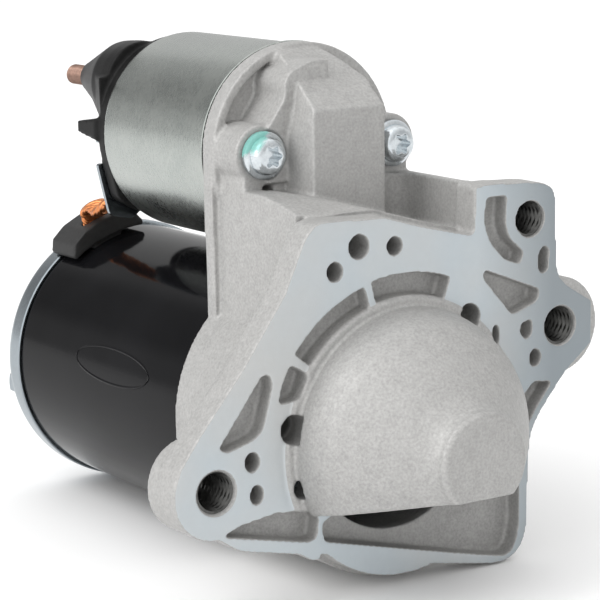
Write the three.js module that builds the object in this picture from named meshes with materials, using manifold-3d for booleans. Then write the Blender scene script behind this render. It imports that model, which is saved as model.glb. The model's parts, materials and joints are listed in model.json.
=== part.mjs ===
// Car starter motor: permanent-magnet motor, planetary reduction, overrunning drive and solenoid.
// Millimetres. The motor axis is the Y axis, with the nose towards -Y. The solenoid is above it (+Z).
// The origin is on the motor axis, in the plane of the mounting flange's machined face.
import * as THREE from 'three';
import { ConvexGeometry } from 'three/addons/geometries/ConvexGeometry.js';
import { mergeVertices } from 'three/addons/utils/BufferGeometryUtils.js';
import Module from 'manifold-3d';

// ---------------------------------------------------------------- driving dimensions
const GAP = 0.3;                    // room between pieces that touch

// Stations along the motor axis
const NOSE_FRONT = -32;
const FLANGE_DEPTH = 8;             // thickness of the mounting flange
const RECESS = 4.5;                 // depth of the cast pockets in the flange
const HOUSING_REAR = 47.5;
const YOKE_FRONT = HOUSING_REAR + GAP;
const YOKE_REAR = 131.5;
const COVER_REAR = 140;

// Radii about the motor axis
const YOKE_R = 36;
const YOKE_BORE = 33.6;
const BODY_R = 36.4;                // cast body just ahead of the yoke
const DOME_R = 32.3;
const DOME_RING_R = 34.3;
const BOSS_R = 12.3;
const CHAMBER_R = 25;               // room for the drive
const CHAMBER_REAR = 39.3;
const MOUTH_R = 23.5;               // bore where the pinion comes out
const GEAR_CASE_R = 27.6;
const SHAFT_R = 6;

// Solenoid
const SOL_Z = 66;                   // height of the solenoid axis above the motor axis
const CAN_R = 26.2;
const CAN_REAR = 99;
const SEAT_R = 26.8;
const SCREW_X = 19.2;               // solenoid screws, either side of its axis
const SCREW_Z = 67.1;
const SCREW_SEAT = 32;
const PLUNGER_TRAVEL = 10;
const PLUNGER_R = 9.2;

// Lever and drive
const PIVOT = { y: 33, z: 37.3, r: 3 };
const BLOCK_FRONT = 22;
const BLOCK_HALF = 10.6;
const BLOCK_TOP = 77.9;
const SHOULDER_FRONT = 31;
const WEB_TOP = 58.7;
const LEVER_UP = 28.7;              // pivot to the middle of the rounded end
const LEVER_DOWN = 37.4;            // pivot to the middle of the pads
const LEVER_REST_DEG = 3.83;
const PINION = { teeth: 11, module: 2.25, front: 2, rear: 16 };
const DRUM = { front: 16.3, rear: 32.6, r: 19, bore: 14.6 };
const COLLAR = { front: 33.1, back: 37.9, rear: 39.2, r: 15.8, groove: 11 };

// Planetary gears: module 1, the ring is fixed, so the carrier turns at 1/5 of the sun
const GEAR_MODULE = 1;
const SUN_TEETH = 12;
const PLANET_TEETH = 18;
const RING_TEETH = SUN_TEETH + 2 * PLANET_TEETH;
const PLANET_ORBIT = GEAR_MODULE * (SUN_TEETH + PLANET_TEETH) / 2;
const PLANET_ANGLES = [90, 210, 330];
const GEAR_FRONT = 47.3;
const GEAR_REAR = 53.3;
const CARRIER = { front: 42.7, rear: 46.7, r: 20.5 };

// Motor
const THROUGH_BOLT = { orbit: 30.85, angles: [14.3, 194.3], r: 2.4 };
const MAGNET = { inner: 24.6, outer: 33.3, front: 60, rear: 104, span: 70 };
const CORE = { r: 23.4, front: 63, rear: 101, slots: 15 };
const COMMUTATOR = { r: 13.5, front: 107, rear: 121 };
const BRUSH_ANGLES = [59.3, 149.3, 239.3, 329.3];

// Mounting holes in the flange: x, z, thread radius, mouth radius, depth
const MOUNT_HOLES = [
  { x: -53.6, z: -5.3, r: 4.5, mouth: 5.9, depth: 14 },
  { x: 38.6, z: 49.6, r: 4, mouth: 4.9, depth: 14 },
  { x: 48.4, z: 21.6, r: 4.4, mouth: 5.5, depth: 14 },
];

// ---------------------------------------------------------------- solids
const wasm = await Module();
wasm.setup();

const rad = THREE.MathUtils.degToRad;

/** Closed, outward-facing geometry with shared vertices and no needle triangles. */
function closed(geometry) {
  const bare = geometry.clone();
  for (const name of Object.keys(bare.attributes)) {
    if (name !== 'position') bare.deleteAttribute(name);
  }
  const merged = mergeVertices(bare, 1e-4);
  const source = merged.index.array;
  const kept = [];
  for (let i = 0; i < source.length; i += 3) {
    const [a, b, c] = [source[i], source[i + 1], source[i + 2]];
    if (a !== b && b !== c && a !== c) kept.push(a, b, c);
  }
  merged.setIndex(kept);
  if (signedVolume(merged) < 0) {
    for (let i = 0; i < kept.length; i += 3) [kept[i], kept[i + 1]] = [kept[i + 1], kept[i]];
    merged.setIndex(kept);
  }
  return merged;
}

function signedVolume(geometry) {
  const p = geometry.attributes.position;
  const index = geometry.index.array;
  const a = new THREE.Vector3(), b = new THREE.Vector3(), c = new THREE.Vector3();
  let sum = 0;
  for (let i = 0; i < index.length; i += 3) {
    a.fromBufferAttribute(p, index[i]);
    b.fromBufferAttribute(p, index[i + 1]);
    c.fromBufferAttribute(p, index[i + 2]);
    sum += a.dot(b.cross(c));
  }
  return sum / 6;
}

function toSolid(geometry) {
  const shell = closed(geometry);
  const mesh = new wasm.Mesh({
    numProp: 3,
    vertProperties: new Float32Array(shell.attributes.position.array),
    triVerts: new Uint32Array(shell.index.array),
  });
  return new wasm.Manifold(mesh);
}

function toGeometry(solid) {
  const mesh = solid.getMesh();
  const geometry = new THREE.BufferGeometry();
  geometry.setAttribute('position', new THREE.BufferAttribute(new Float32Array(mesh.vertProperties), 3));
  geometry.setIndex(Array.from(mesh.triVerts));
  return geometry;
}

const join = (...geometries) => toGeometry(geometries.map(toSolid).reduce((a, b) => a.add(b)));

/** The first geometry with each of the others taken out of it. */
function cut(body, ...tools) {
  return toGeometry(tools.map(toSolid).reduce((a, b) => a.subtract(b), toSolid(body)));
}

// ---------------------------------------------------------------- shapes
/** Solid of revolution about the Y axis; the profile is a list of [radius, y]. */
function turned(profile, segments = 28) {
  const points = profile.map(([r, y]) => new THREE.Vector2(r, y));
  const closes = profile[0][0] > 0 || profile.at(-1)[0] > 0;
  if (closes) points.push(points[0].clone());
  return new THREE.LatheGeometry(points, segments);
}

function rod(r, y0, y1, x = 0, z = 0, segments = 20) {
  return new THREE.CylinderGeometry(r, r, y1 - y0, segments).translate(x, (y0 + y1) / 2, z);
}

const tube = (outer, inner, y0, y1, segments = 28) =>
  turned([[outer, y0], [outer, y1], [inner, y1], [inner, y0]], segments);

function crossRod(r, x0, x1, y, z, segments = 14) {
  const geometry = new THREE.CylinderGeometry(r, r, x1 - x0, segments).rotateZ(Math.PI / 2);
  return geometry.translate((x0 + x1) / 2, y, z);
}

function box(x0, x1, y0, y1, z0, z1) {
  const geometry = new THREE.BoxGeometry(x1 - x0, y1 - y0, z1 - z0);
  return geometry.translate((x0 + x1) / 2, (y0 + y1) / 2, (z0 + z1) / 2);
}

/** Straight-sided shape from [x, z, corner radius] points; a missing radius is a sharp corner. */
function outline(points) {
  const shape = new THREE.Shape();
  const n = points.length;
  const at = (i) => new THREE.Vector2(points[(i + n) % n][0], points[(i + n) % n][1]);
  for (let i = 0; i < n; i++) {
    const corner = at(i), before = at(i - 1), after = at(i + 1);
    const r = points[i][2] ?? 0;
    const inLeg = Math.min(r, 0.48 * corner.distanceTo(before));
    const outLeg = Math.min(r, 0.48 * corner.distanceTo(after));
    const start = corner.clone().add(before.sub(corner).setLength(inLeg || 1e-9));
    const end = corner.clone().add(after.sub(corner).setLength(outLeg || 1e-9));
    if (i === 0) shape.moveTo(start.x, start.y);
    else shape.lineTo(start.x, start.y);
    if (r > 0) shape.quadraticCurveTo(corner.x, corner.y, end.x, end.y);
  }
  shape.closePath();
  return shape;
}

/** Ring sector in the X-Z plane, angles in degrees from +X towards +Z. */
function sector(inner, outer, from, to) {
  const shape = new THREE.Shape();
  shape.absarc(0, 0, outer, rad(from), rad(to), false);
  shape.absarc(0, 0, inner, rad(to), rad(from), true);
  shape.closePath();
  return shape;
}

/** A shape of the X-Z plane, made solid from y0 to y1. */
function plate(shape, y0, y1, curveSegments = 3) {
  const options = { depth: y1 - y0, bevelEnabled: false, curveSegments };
  return new THREE.ExtrudeGeometry(shape, options).rotateX(Math.PI / 2).translate(0, y1, 0);
}

/** The same with its front edge chamfered by the given size. */
function chamferedPlate(shape, y0, y1, size, curveSegments = 3) {
  const options = {
    depth: y1 - y0 - size, bevelEnabled: true, bevelSegments: 1,
    bevelSize: size, bevelThickness: size, bevelOffset: -size, curveSegments,
  };
  const geometry = new THREE.ExtrudeGeometry(shape, options).rotateX(Math.PI / 2);
  return geometry.translate(0, y1, 0);
}

/** A shape drawn as [x, y] and made solid from z0 to z1. */
function standing(shape, z0, z1, curveSegments = 4) {
  const options = { depth: z1 - z0, bevelEnabled: false, curveSegments };
  return new THREE.ExtrudeGeometry(shape, options).translate(0, 0, z0);
}

/** A shape drawn as [y, z] and made solid from x0 to x1. */
function sideways(shape, x0, x1, curveSegments = 4) {
  const options = { depth: x1 - x0, bevelEnabled: false, curveSegments };
  const geometry = new THREE.ExtrudeGeometry(shape, options);
  geometry.applyMatrix4(new THREE.Matrix4().set(0, 0, 1, x0, 1, 0, 0, 0, 0, 1, 0, 0, 0, 0, 0, 1));
  return geometry;
}

class Helix extends THREE.Curve {
  constructor(radius, pitch, turns) {
    super();
    Object.assign(this, { radius, pitch, turns });
  }

  getPoint(t, target = new THREE.Vector3()) {
    const angle = t * this.turns * 2 * Math.PI;
    const along = t * this.turns * this.pitch;
    return target.set(this.radius * Math.cos(angle), along, this.radius * Math.sin(angle));
  }
}

/** Coil spring about the Y axis from y = 0. */
function spring(radius, wire, length, turns, perTurn = 8) {
  const section = new THREE.Shape();
  section.absarc(0, 0, wire, 0, 2 * Math.PI, false);
  const path = new Helix(radius, (length - 2 * wire) / turns, turns);
  const options = { steps: Math.round(turns * perTurn), bevelEnabled: false, extrudePath: path,
    curveSegments: 2 };
  return new THREE.ExtrudeGeometry(section, options).translate(0, wire, 0);
}

// ---------------------------------------------------------------- gears
/** Half the angle that an involute tooth spans at radius r. */
function halfToothAngle(r, pitchR, teeth, pressure, thinning) {
  const baseR = pitchR * Math.cos(pressure);
  const inv = (angle) => Math.tan(angle) - angle;
  const atPitch = Math.PI / (2 * teeth) - thinning / (2 * pitchR);
  if (r <= baseR) return atPitch + inv(pressure);
  return atPitch + inv(pressure) - inv(Math.acos(baseR / r));
}

/** External gear outline with a tooth centred on the given angle. */
function gearShape({ teeth, module, tip, root, pressureDeg = 25, thinning = 0.16, phaseDeg = 0 }) {
  const pressure = rad(pressureDeg);
  const pitchR = module * teeth / 2;
  const tipR = pitchR + tip;
  const rootR = pitchR - root;
  const radii = [rootR, pitchR, tipR];
  const points = [];
  for (let k = 0; k < teeth; k++) {
    const centre = rad(phaseDeg) + k * 2 * Math.PI / teeth;
    const half = (r) => halfToothAngle(r, pitchR, teeth, pressure, thinning);
    for (const r of radii) points.push([r, centre - half(r)]);
    for (const r of [...radii].reverse()) points.push([r, centre + half(r)]);
  }
  return new THREE.Shape(points.map(([r, a]) => new THREE.Vector2(r * Math.cos(a), r * Math.sin(a))));
}

/** Hole of an internal gear whose teeth point inwards, one of them centred on angle 0. */
function ringHole({ teeth, module, tip, root, pressureDeg = 25, thinning = 0.16 }) {
  const pressure = rad(pressureDeg);
  const pitchR = module * teeth / 2;
  const tipR = pitchR - tip;
  const rootR = pitchR + root;
  const radii = [tipR, pitchR, rootR];
  const hole = new THREE.Path();
  for (let k = 0; k < teeth; k++) {
    const gap = (k + 0.5) * 2 * Math.PI / teeth;
    const half = (r) => halfToothAngle(r, pitchR, teeth, pressure, -thinning);
    const ends = [...radii.map((r) => [r, gap - half(r)]), ...radii.map((r) => [r, gap + half(r)]).reverse()];
    ends.forEach(([r, a], i) => {
      const place = [r * Math.cos(a), r * Math.sin(a)];
      if (k === 0 && i === 0) hole.moveTo(...place);
      else hole.lineTo(...place);
    });
  }
  hole.closePath();
  return hole;
}

// ---------------------------------------------------------------- drive-end housing
const onOrbit = (orbit, angle) => ({ x: orbit * Math.cos(rad(angle)), z: orbit * Math.sin(rad(angle)) });

const FLANGE_OUTLINE = [
  [-53.5, -16.4], [-48, -20.3, 3], [-31, -24], [-27.5, -26.2, 1], [-25.2, -26.4], [-25, -25],
  [-11, -28.2, 3], [-5.5, -31.5, 3], [3, -31.7, 3], [6, -33, 3], [37.8, -39, 13], [38.4, -8, 10],
  [40.2, -2, 6], [50.5, 9.8], [58.5, 16], [58.5, 26.8], [48.8, 32.6, 4], [47.2, 36.5, 4], [46.9, 49.4, 8],
  [46.5, 58.4, 8], [26.7, 59.4, 3], [21.6, 59.1, 1], [21.3, 47.2, 2], [5, 51.2], [-5, 54.2], [-24.5, 55, 3], [-28, 52, 3],
  [-34, 39], [-46, 22.5], [-58, 8.5, 4], [-63.5, 1],
];

const SKIRT_RECESS = [
  [-24.2, -17.5, 1], [-23.8, -21.9, 1], [23.5, -33.7, 10], [35.2, -36.1, 12], [35.3, -10, 6],
  [38.6, -1, 4], [45.8, 7.6, 1], [40, 8.2, 1], [35.4, 3.5, 2], [34.6, -8, 3], [31.3, -14.9],
  [-19, -14.9],
];

/** Cast pockets in the flange face, each one level deep. */
const POCKETS = [
  [[-52.6, 5, 0.8], [-50.4, 3.9, 1], [-43.2, 5.9, 2], [-40.8, 7.6, 2], [-37.9, 18, 1.6], [-38.6, 20.6, 1],
    [-40.6, 20.6, 1], [-46, 13.5, 1]],
  [[-32.8, 22.1, 0.8], [-28, 19.3, 1.4], [-30.6, 13.6, 1.6], [-36, 13.2, 1.2], [-35.4, 16.5, 1]],
  [[-52.2, -16, 0.6], [-47, -14.2, 1], [-37.5, -12.9, 1], [-28.5, -13.6, 1], [-25.4, -15.6, 1.2],
    [-26.2, -20.9, 1], [-29, -21.1, 1]],
  [[25.2, 56, 0.8], [31.2, 56, 0.8], [30.7, 49.5, 1], [31.8, 45.6, 2], [36.6, 41.5, 1], [35.4, 38.7, 1],
    [30.4, 40.6, 1], [26, 45.4, 2], [24.3, 50.5, 2]],
  [[24.4, 38.3, 0.6], [34.5, 34.4], [41.6, 31.6, 0.8], [41, 28.9, 1], [33.2, 26.2, 1.2], [24.2, 36.2, 1]],
  [[41.6, 41, 1], [43, 42.6, 0.8], [44.6, 41.6, 0.8], [44.4, 36.2, 1], [42.4, 35.4, 1], [41.2, 37, 1]],
  [[35.9, 23.6, 0.8], [39.3, 24.3, 0.8], [39.2, 20.3, 1], [37.2, 19.3, 1], [35.6, 21.4, 0.8]],
];

/** Small cored holes: x, z, radius, squash across x. */
const CORED_HOLES = [
  [-13, 48, 2.9, 1], [-19.9, 42.7, 2.3, 0.95], [-2.6, 47.1, 2.2, 1], [19.7, 27.3, 3.2, 1], [-32, 6.6, 3.6, 1],
  [-43.7, 0.5, 2.3, 0.85], [-42.6, -7.5, 2.3, 0.75], [40.4, 14.4, 2.2, 0.8], [27.9, 21.6, 2.6, 0.4],
];

const ARC_SLOTS = [[34.6, 39.8, 107, 142], [34.9, 40.2, 70, 103.5]];

function domeOutside() {
  const profile = [
    [0, RECESS + 4], [DOME_R, RECESS + 4], [DOME_R, -1], [DOME_R - 0.6, -5], [30.2, -9.6], [27.2, -14],
    [22.2, -19.4], [16, -25], [13.2, -28], [BOSS_R, -29.6], [BOSS_R, NOSE_FRONT + 0.9],
    [BOSS_R - 0.9, NOSE_FRONT], [0, NOSE_FRONT],
  ];
  return turned(profile, 36);
}

function domeInside() {
  const profile = [
    [0, CHAMBER_R], [MOUTH_R, CHAMBER_R], [MOUTH_R, -4], [21.5, -9.5], [17, -14.5], [10.5, -19.5],
    [7.2, -19.6], [7.2, -28.3], [0, -28.3],
  ];
  return turned(profile, 22);
}

function leverBlock() {
  const side = outline([[BLOCK_FRONT, 5], [BLOCK_FRONT, BLOCK_TOP], [36, 88.2], [43, SOL_Z + SEAT_R - 0.8],
    [HOUSING_REAR, SOL_Z + SEAT_R - 0.8], [HOUSING_REAR, 5]]);
  const plan = outline([[-BLOCK_HALF, BLOCK_FRONT], [BLOCK_HALF, BLOCK_FRONT], [11.2, 34], [11.2, HOUSING_REAR],
    [-12.2, HOUSING_REAR], [-12.2, SHOULDER_FRONT]]);
  const front = outline([[-12.2, 5], [11.2, 5], [11.2, 84], [5.4, 91, 2], [-3, 92.4, 3], [-8.4, 90.5, 1],
    [-9.2, 85], [-10.3, BLOCK_TOP], [-12.2, 71]]);
  const solid = toSolid(sideways(side, -40, 40)).intersect(toSolid(standing(plan, 5, 95)))
    .intersect(toSolid(plate(front, BLOCK_FRONT, HOUSING_REAR)));
  return toGeometry(solid);
}

function housing() {
  const leftShoulder = outline([[0, 60], [0, 89.4], [-5, 89.2, 1], [-11.4, 86.8, 1.5], [-12.9, 83.9, 1],
    [-12.9, 80.4, 1], [-18, 73.3], [-18, 60]]);
  const rightShoulder = outline([[0, 60], [18, 60], [18, 70], [15, 80], [10.6, 86], [0, 86]]);
  const webPlan = outline([[-24.8, 9], [0, 6], [25.6, 6], [25.6, HOUSING_REAR], [-24.8, HOUSING_REAR]]);
  const webSide = outline([[5, 0], [5, 54.2], [9.4, 55.6], [16.7, 57.6], [24.6, WEB_TOP], [HOUSING_REAR, WEB_TOP],
    [HOUSING_REAR, 0]]);
  const webFront = outline([[-26, 0], [-26, 60.2], [-10.9, 57.2], [12.6, 50.5], [26.6, 46.6], [26.6, 0]]);
  const web = toSolid(standing(webPlan, 0, 61)).intersect(toSolid(sideways(webSide, -30, 30)))
    .intersect(toSolid(plate(webFront, 5, HOUSING_REAR)));
  const webWall = outline([[22.9, 3.4], [25.2, 6.5], [25.2, 34.5], [9, 34.5], [9, 31.3], [22.9, 31.3, 8]]);
  const seatRecess = (s) => {
    const shape = new THREE.Shape();
    const [from, to] = s < 0 ? [104, 163] : [17, 52];
    shape.absarc(0, 0, 24.4, rad(from), rad(to), false);
    shape.absarc(0, 0, 14.5, rad(to), rad(from), true);
    shape.closePath();
    return plate(shape, 40, 44.6, 6).translate(0, 0, SOL_Z);
  };
  const seat = cut(rod(SEAT_R, 42.2, HOUSING_REAR, 0, SOL_Z, 40), seatRecess(-1), seatRecess(1));

  const added = [
    chamferedPlate(outline(FLANGE_OUTLINE), 0, FLANGE_DEPTH, 0.7),
    domeOutside(),
    tube(DOME_RING_R, DOME_R - 1, -0.8, RECESS, 36),
    turned([[0, RECESS + GAP], [35.4, RECESS + GAP], [35.6, 20], [BODY_R, 30], [BODY_R, HOUSING_REAR],
      [0, HOUSING_REAR]], 44),
    toGeometry(web),
    standing(webWall, 20, 59.6),
    leverBlock(),
    plate(leftShoulder, SHOULDER_FRONT, HOUSING_REAR),
    plate(rightShoulder, 38, HOUSING_REAR),
    seat,
    plate(outline([[-SEAT_R, SOL_Z], [SEAT_R, SOL_Z], [26, 20], [-26, 20]]), 43.5, HOUSING_REAR),
    ...[-1, 1].map((s) => rod(7.4, SCREW_SEAT, HOUSING_REAR, s * SCREW_X, SCREW_Z, 24)),
    box(-24.5, 24.5, SCREW_SEAT, HOUSING_REAR - 1, 40, SCREW_Z),
    rod(11.4, 0, 12.5, MOUNT_HOLES[0].x, MOUNT_HOLES[0].z, 28),
    rod(7.6, 0, 15, MOUNT_HOLES[1].x, MOUNT_HOLES[1].z, 24),
    rod(12.3, 0.6, 15, MOUNT_HOLES[2].x, MOUNT_HOLES[2].z, 28),
    ...THROUGH_BOLT.angles.map((angle) => {
      const { x, z } = onOrbit(THROUGH_BOLT.orbit, angle);
      return rod(5.4, RECESS, HOUSING_REAR, x, z, 16);
    }),
  ];

  const leverRoom = outline([[24, 75], [HOUSING_REAR + 1, 75], [HOUSING_REAR + 1, 55], [40, 52], [40, 10],
    [24, 10]]);
  const window = outline([[-40, -6.8], [0, -14.9], [0, -60], [-40, -60]]);
  const behindSeat = box(-8.2, 8.2, 24.2, 44, SOL_Z - 7, SOL_Z + 7);

  const removed = [
    domeInside(),
    rod(CHAMBER_R, RECESS + 3, CHAMBER_REAR + 0.5, 0, 0, 22),
    rod(GEAR_CASE_R, CHAMBER_REAR, HOUSING_REAR + 1, 0, 0, 28),
    sideways(leverRoom, -8, 8),
    behindSeat,
    rod(10.6, 43, HOUSING_REAR + 1, 0, SOL_Z, 24),
    crossRod(PIVOT.r + GAP, -11.5, 11.5, PIVOT.y, PIVOT.z),
    sideways(window, -45, 45),
    plate(outline(SKIRT_RECESS), -2, RECESS),
    ...POCKETS.map((points) => plate(outline(points), -2, RECESS, 2)),
    ...ARC_SLOTS.map(([inner, outer, from, to]) => plate(sector(inner, outer, from, to), -2, RECESS, 5)),
    ...CORED_HOLES.map(([x, z, r, squash]) =>
      rod(r, -2, 7, 0, 0, 12).applyMatrix4(new THREE.Matrix4().makeScale(squash, 1, 1)).translate(x, 0, z)),
    ...[-1, 1].map((s) => rod(3.3, SCREW_SEAT - 1, HOUSING_REAR + 1, s * SCREW_X, SCREW_Z, 12)),
    ...[-1, 1].map((s) => rod(6.4, 16, SCREW_SEAT, s * SCREW_X, SCREW_Z, 20)),
    rod(1.8, SCREW_SEAT - 2, SCREW_SEAT + 5, -17.7, 57.8, 12),
    ...THROUGH_BOLT.angles.map((angle) => {
      const { x, z } = onOrbit(THROUGH_BOLT.orbit, angle);
      return rod(THROUGH_BOLT.r + GAP, -2, HOUSING_REAR + 1, x, z, 12);
    }),
    ...MOUNT_HOLES.map(({ x, z, r, mouth, depth }) =>
      turned([[0, -1], [mouth + 1, -1], [mouth, 0], [r, mouth - r], [r, depth + 3], [0, depth + 3]], 20)
        .translate(x, 0, z)),
  ];
  return cut(join(...added), ...removed);
}

// ---------------------------------------------------------------- bearings and gears
const boltHoles = (y0, y1, r = THROUGH_BOLT.r + GAP) => THROUGH_BOLT.angles.map((angle) => {
  const { x, z } = onOrbit(THROUGH_BOLT.orbit, angle);
  return rod(r, y0, y1, x, z, 12);
});

const frontBush = () => tube(6.9, 5.8, -28, -19.7, 24);

const supportPlate = () => tube(27.3, 8.2, CHAMBER_REAR + GAP, 42.2, 28);

const supportBush = () => tube(7.9, SHAFT_R + GAP, CHAMBER_REAR + GAP, 42.2, 24);

function ringGear() {
  const shape = new THREE.Shape();
  shape.absarc(0, 0, GEAR_CASE_R - GAP, 0, 2 * Math.PI, false);
  shape.holes.push(ringHole({ teeth: RING_TEETH, module: GEAR_MODULE, tip: 0.9, root: 1.2 }));
  return plate(shape, 42.5, 56.2, 18);
}

function centrePlate() {
  const cup = turned([[27.6, 50], [33.2, 50], [33.2, 58.5], [7.6, 58.5], [7.6, 56.5], [27.6, 56.5]], 28);
  return cut(cup, ...boltHoles(49, 60));
}

function planetGear() {
  const shape = gearShape({ teeth: PLANET_TEETH, module: GEAR_MODULE, tip: 0.9, root: 1.2 });
  const bore = new THREE.Path();
  bore.absarc(0, 0, 2.3, 0, 2 * Math.PI, true);
  shape.holes.push(bore);
  return plate(shape, GEAR_FRONT, GEAR_REAR, 6);
}

const planetPin = () => rod(2, CARRIER.front + 0.1, GEAR_REAR + 0.8, 0, 0, 12);

function outputShaft() {
  const solid = turned([
    [0, -27.7], [5, -27.7], [5.5, -27.2], [5.5, -14], [SHAFT_R, -13.6], [SHAFT_R, CARRIER.front],
    [CARRIER.r, CARRIER.front], [CARRIER.r, CARRIER.rear], [4.3, CARRIER.rear], [4.3, 41], [0, 41],
  ], 20);
  const holes = PLANET_ANGLES.map((angle) => {
    const { x, z } = onOrbit(PLANET_ORBIT, angle);
    return rod(2.3, CARRIER.front - 1, CARRIER.rear + 1, x, z, 12);
  });
  return cut(solid, ...holes);
}

const stopRing = () => tube(8.4, SHAFT_R + GAP, -12.4, -10.1, 24);

// ---------------------------------------------------------------- drive
function clutchDrum() {
  return turned([
    [DRUM.bore, DRUM.front], [DRUM.r - 0.8, DRUM.front], [DRUM.r, DRUM.front + 0.8], [DRUM.r, 28.7],
    [DRUM.r - 0.8, 29.5], [15.5, 29.5], [15.5, DRUM.rear], [7.9, DRUM.rear], [7.9, COLLAR.rear],
    [SHAFT_R + GAP, COLLAR.rear], [SHAFT_R + GAP, 27], [DRUM.bore, 27],
  ], 22);
}

function forkCollar() {
  return turned([
    [8.2, DRUM.rear + GAP], [COLLAR.groove, DRUM.rear + GAP], [COLLAR.groove, COLLAR.back],
    [COLLAR.r, COLLAR.back], [COLLAR.r, COLLAR.rear], [8.2, COLLAR.rear],
  ], 20);
}

function pinion() {
  const gear = gearShape({ teeth: PINION.teeth, module: PINION.module, tip: 2.05, root: 2.6, pressureDeg: 20 });
  const tips = turned([[0, PINION.front - 0.1], [12.9, PINION.front - 0.1], [14.6, PINION.front + 1.6],
    [14.6, PINION.rear + 0.1], [0, PINION.rear + 0.1]], 33);
  const teeth = toGeometry(toSolid(plate(gear, PINION.front, PINION.rear)).intersect(toSolid(tips)));
  const race = turned([[0, PINION.rear - 1], [9, PINION.rear - 1], [9, 16.6], [14.2, 16.6], [14.2, 18], [10, 18],
    [10, 26.6], [0, 26.6]], 24);
  return cut(join(teeth, race), rod(SHAFT_R + GAP, 0, 30, 0, 0, 24));
}

function shiftLever() {
  const thickness = 1.5;
  const fork = plate(sector(16.4, 19.4, -8, 188), -thickness, thickness, 9).translate(0, 0, -LEVER_DOWN);
  const pads = [-1, 1].map((s) => box(Math.min(s * 11.6, s * 16.9), Math.max(s * 11.6, s * 16.9),
    -thickness, thickness, -2.3 - LEVER_DOWN, 2.3 - LEVER_DOWN));
  const stem = sideways(outline([[-1.5, -20], [-1.5, -14], [-2.4, -8], [-2.4, 0], [2.4, 0], [2.4, -8],
    [1.5, -14], [1.5, -20]]), -4, 4);
  const arm = box(-3, 3, -1.7, 1.7, 0, LEVER_UP);
  const solid = join(fork, ...pads, stem, arm, crossRod(5.2, -4.5, 4.5, 0, 0),
    crossRod(2.6, -3, 3, 0, LEVER_UP, 16));
  const lever = cut(solid, crossRod(PIVOT.r + GAP, -6, 6, 0, 0));
  return lever.rotateX(rad(LEVER_REST_DEG)).translate(0, PIVOT.y, PIVOT.z);
}

const leverPin = () => crossRod(PIVOT.r, -11.2, 11.2, PIVOT.y, PIVOT.z);

// ---------------------------------------------------------------- motor
/** Where the motor lead goes in: polar angle and station of its hole, and the notch made for its grommet. */
const LEAD = { angle: 110, y: 127, notchFront: 122.3, notchHalf: 5, wide: 3.6, thick: 1.5 };

const atLead = (geometry) => geometry.rotateY(-rad(LEAD.angle));

function yoke() {
  const shell = tube(YOKE_R, YOKE_BORE, YOKE_FRONT, YOKE_REAR, 48);
  const notch = atLead(box(30, 40, LEAD.notchFront, YOKE_REAR + 1, -LEAD.notchHalf, LEAD.notchHalf));
  return cut(shell, notch);
}

function magnet(from) {
  return plate(sector(MAGNET.inner, MAGNET.outer, from, from + MAGNET.span), MAGNET.front, MAGNET.rear, 6);
}

function rearCover() {
  const shell = turned([
    [31, 129.6], [33.3, 129.6], [33.3, YOKE_REAR + GAP], [36.8, YOKE_REAR + GAP], [36.8, 136.6], [35.6, 139],
    [33, COVER_REAR], [10.6, COVER_REAR], [10, 141.4], [0, 141.4], [0, 138.4], [6.9, 138.4],
    [6.9, 131], [9.2, 131], [9.2, 137.8], [31, 137.8],
  ], 36);
  return cut(shell, ...boltHoles(128, 142));
}

const rearBush = () => tube(6.6, 5.3, 131.2, 137.9, 24);

const alongRadius = (geometry, angle) => geometry.rotateY(-rad(angle));

function brushPlate() {
  const disc = tube(32.8, 15.4, 121.6, 123.6, 32);
  const holders = BRUSH_ANGLES.map((a) => alongRadius(box(15.8, 29.5, 109, 122, -5, 5), a));
  const channels = BRUSH_ANGLES.map((a) => alongRadius(box(10, 28.3, 110.2, 119.8, -3.8, 3.8), a));
  const post = atLead(box(22, 27.5, 123, 126.2, -3.5, 3.5));
  return cut(join(disc, ...holders, post), ...channels, ...boltHoles(120, 125, 3.2));
}

const brush = (angle) => alongRadius(box(13.9, 21.5, 110.5, 119.5, -3.5, 3.5), angle);

function brushSpring(angle) {
  const coil = spring(2.7, 0.5, 6.2, 3).rotateZ(-Math.PI / 2);
  return alongRadius(coil.translate(21.8, 115, 0), angle);
}

function throughBolt(angle) {
  const { x, z } = onOrbit(THROUGH_BOLT.orbit, angle);
  const head = new THREE.CylinderGeometry(4.5, 4.5, 3.6, 6).translate(x, COVER_REAR + GAP + 1.8, z);
  return join(rod(THROUGH_BOLT.r, 5.5, COVER_REAR + 1, x, z, 12), head);
}

function armatureShaft() {
  const sun = plate(gearShape({ teeth: SUN_TEETH, module: GEAR_MODULE, tip: 0.9, root: 1.2 }), GEAR_FRONT,
    GEAR_REAR + 0.7);
  const shaft = turned([[0, 41.3], [3.6, 41.3], [4, 41.7], [4, GEAR_FRONT + 0.5], [4.5, GEAR_FRONT + 0.5],
    [4.5, GEAR_REAR], [5, GEAR_REAR + 0.7], [5, 136.9], [4.6, 137.4], [0, 137.4]], 20);
  return join(sun, shaft);
}

/** Closed ring outline through polar points repeated for every slot, with a round bore. */
function slotted(slots, cell, boreR) {
  const points = [];
  for (let k = 0; k < slots; k++) {
    for (const [r, side] of cell) {
      const centre = (k + 0.5) * 2 * Math.PI / slots;
      const a = centre + Math.asin(side / r);
      points.push(new THREE.Vector2(r * Math.cos(a), r * Math.sin(a)));
    }
  }
  const shape = new THREE.Shape(points);
  const bore = new THREE.Path();
  bore.absarc(0, 0, boreR, 0, 2 * Math.PI, true);
  shape.holes.push(bore);
  return shape;
}

const SLOT = [[CORE.r, -0.9], [21.9, -0.9], [21.9, -2.9], [14, -1.4], [14, 1.4], [21.9, 2.9], [21.9, 0.9],
  [CORE.r, 0.9]];

const armatureCore = () => plate(slotted(CORE.slots, SLOT, 5.3), CORE.front, CORE.rear, 6);

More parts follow.
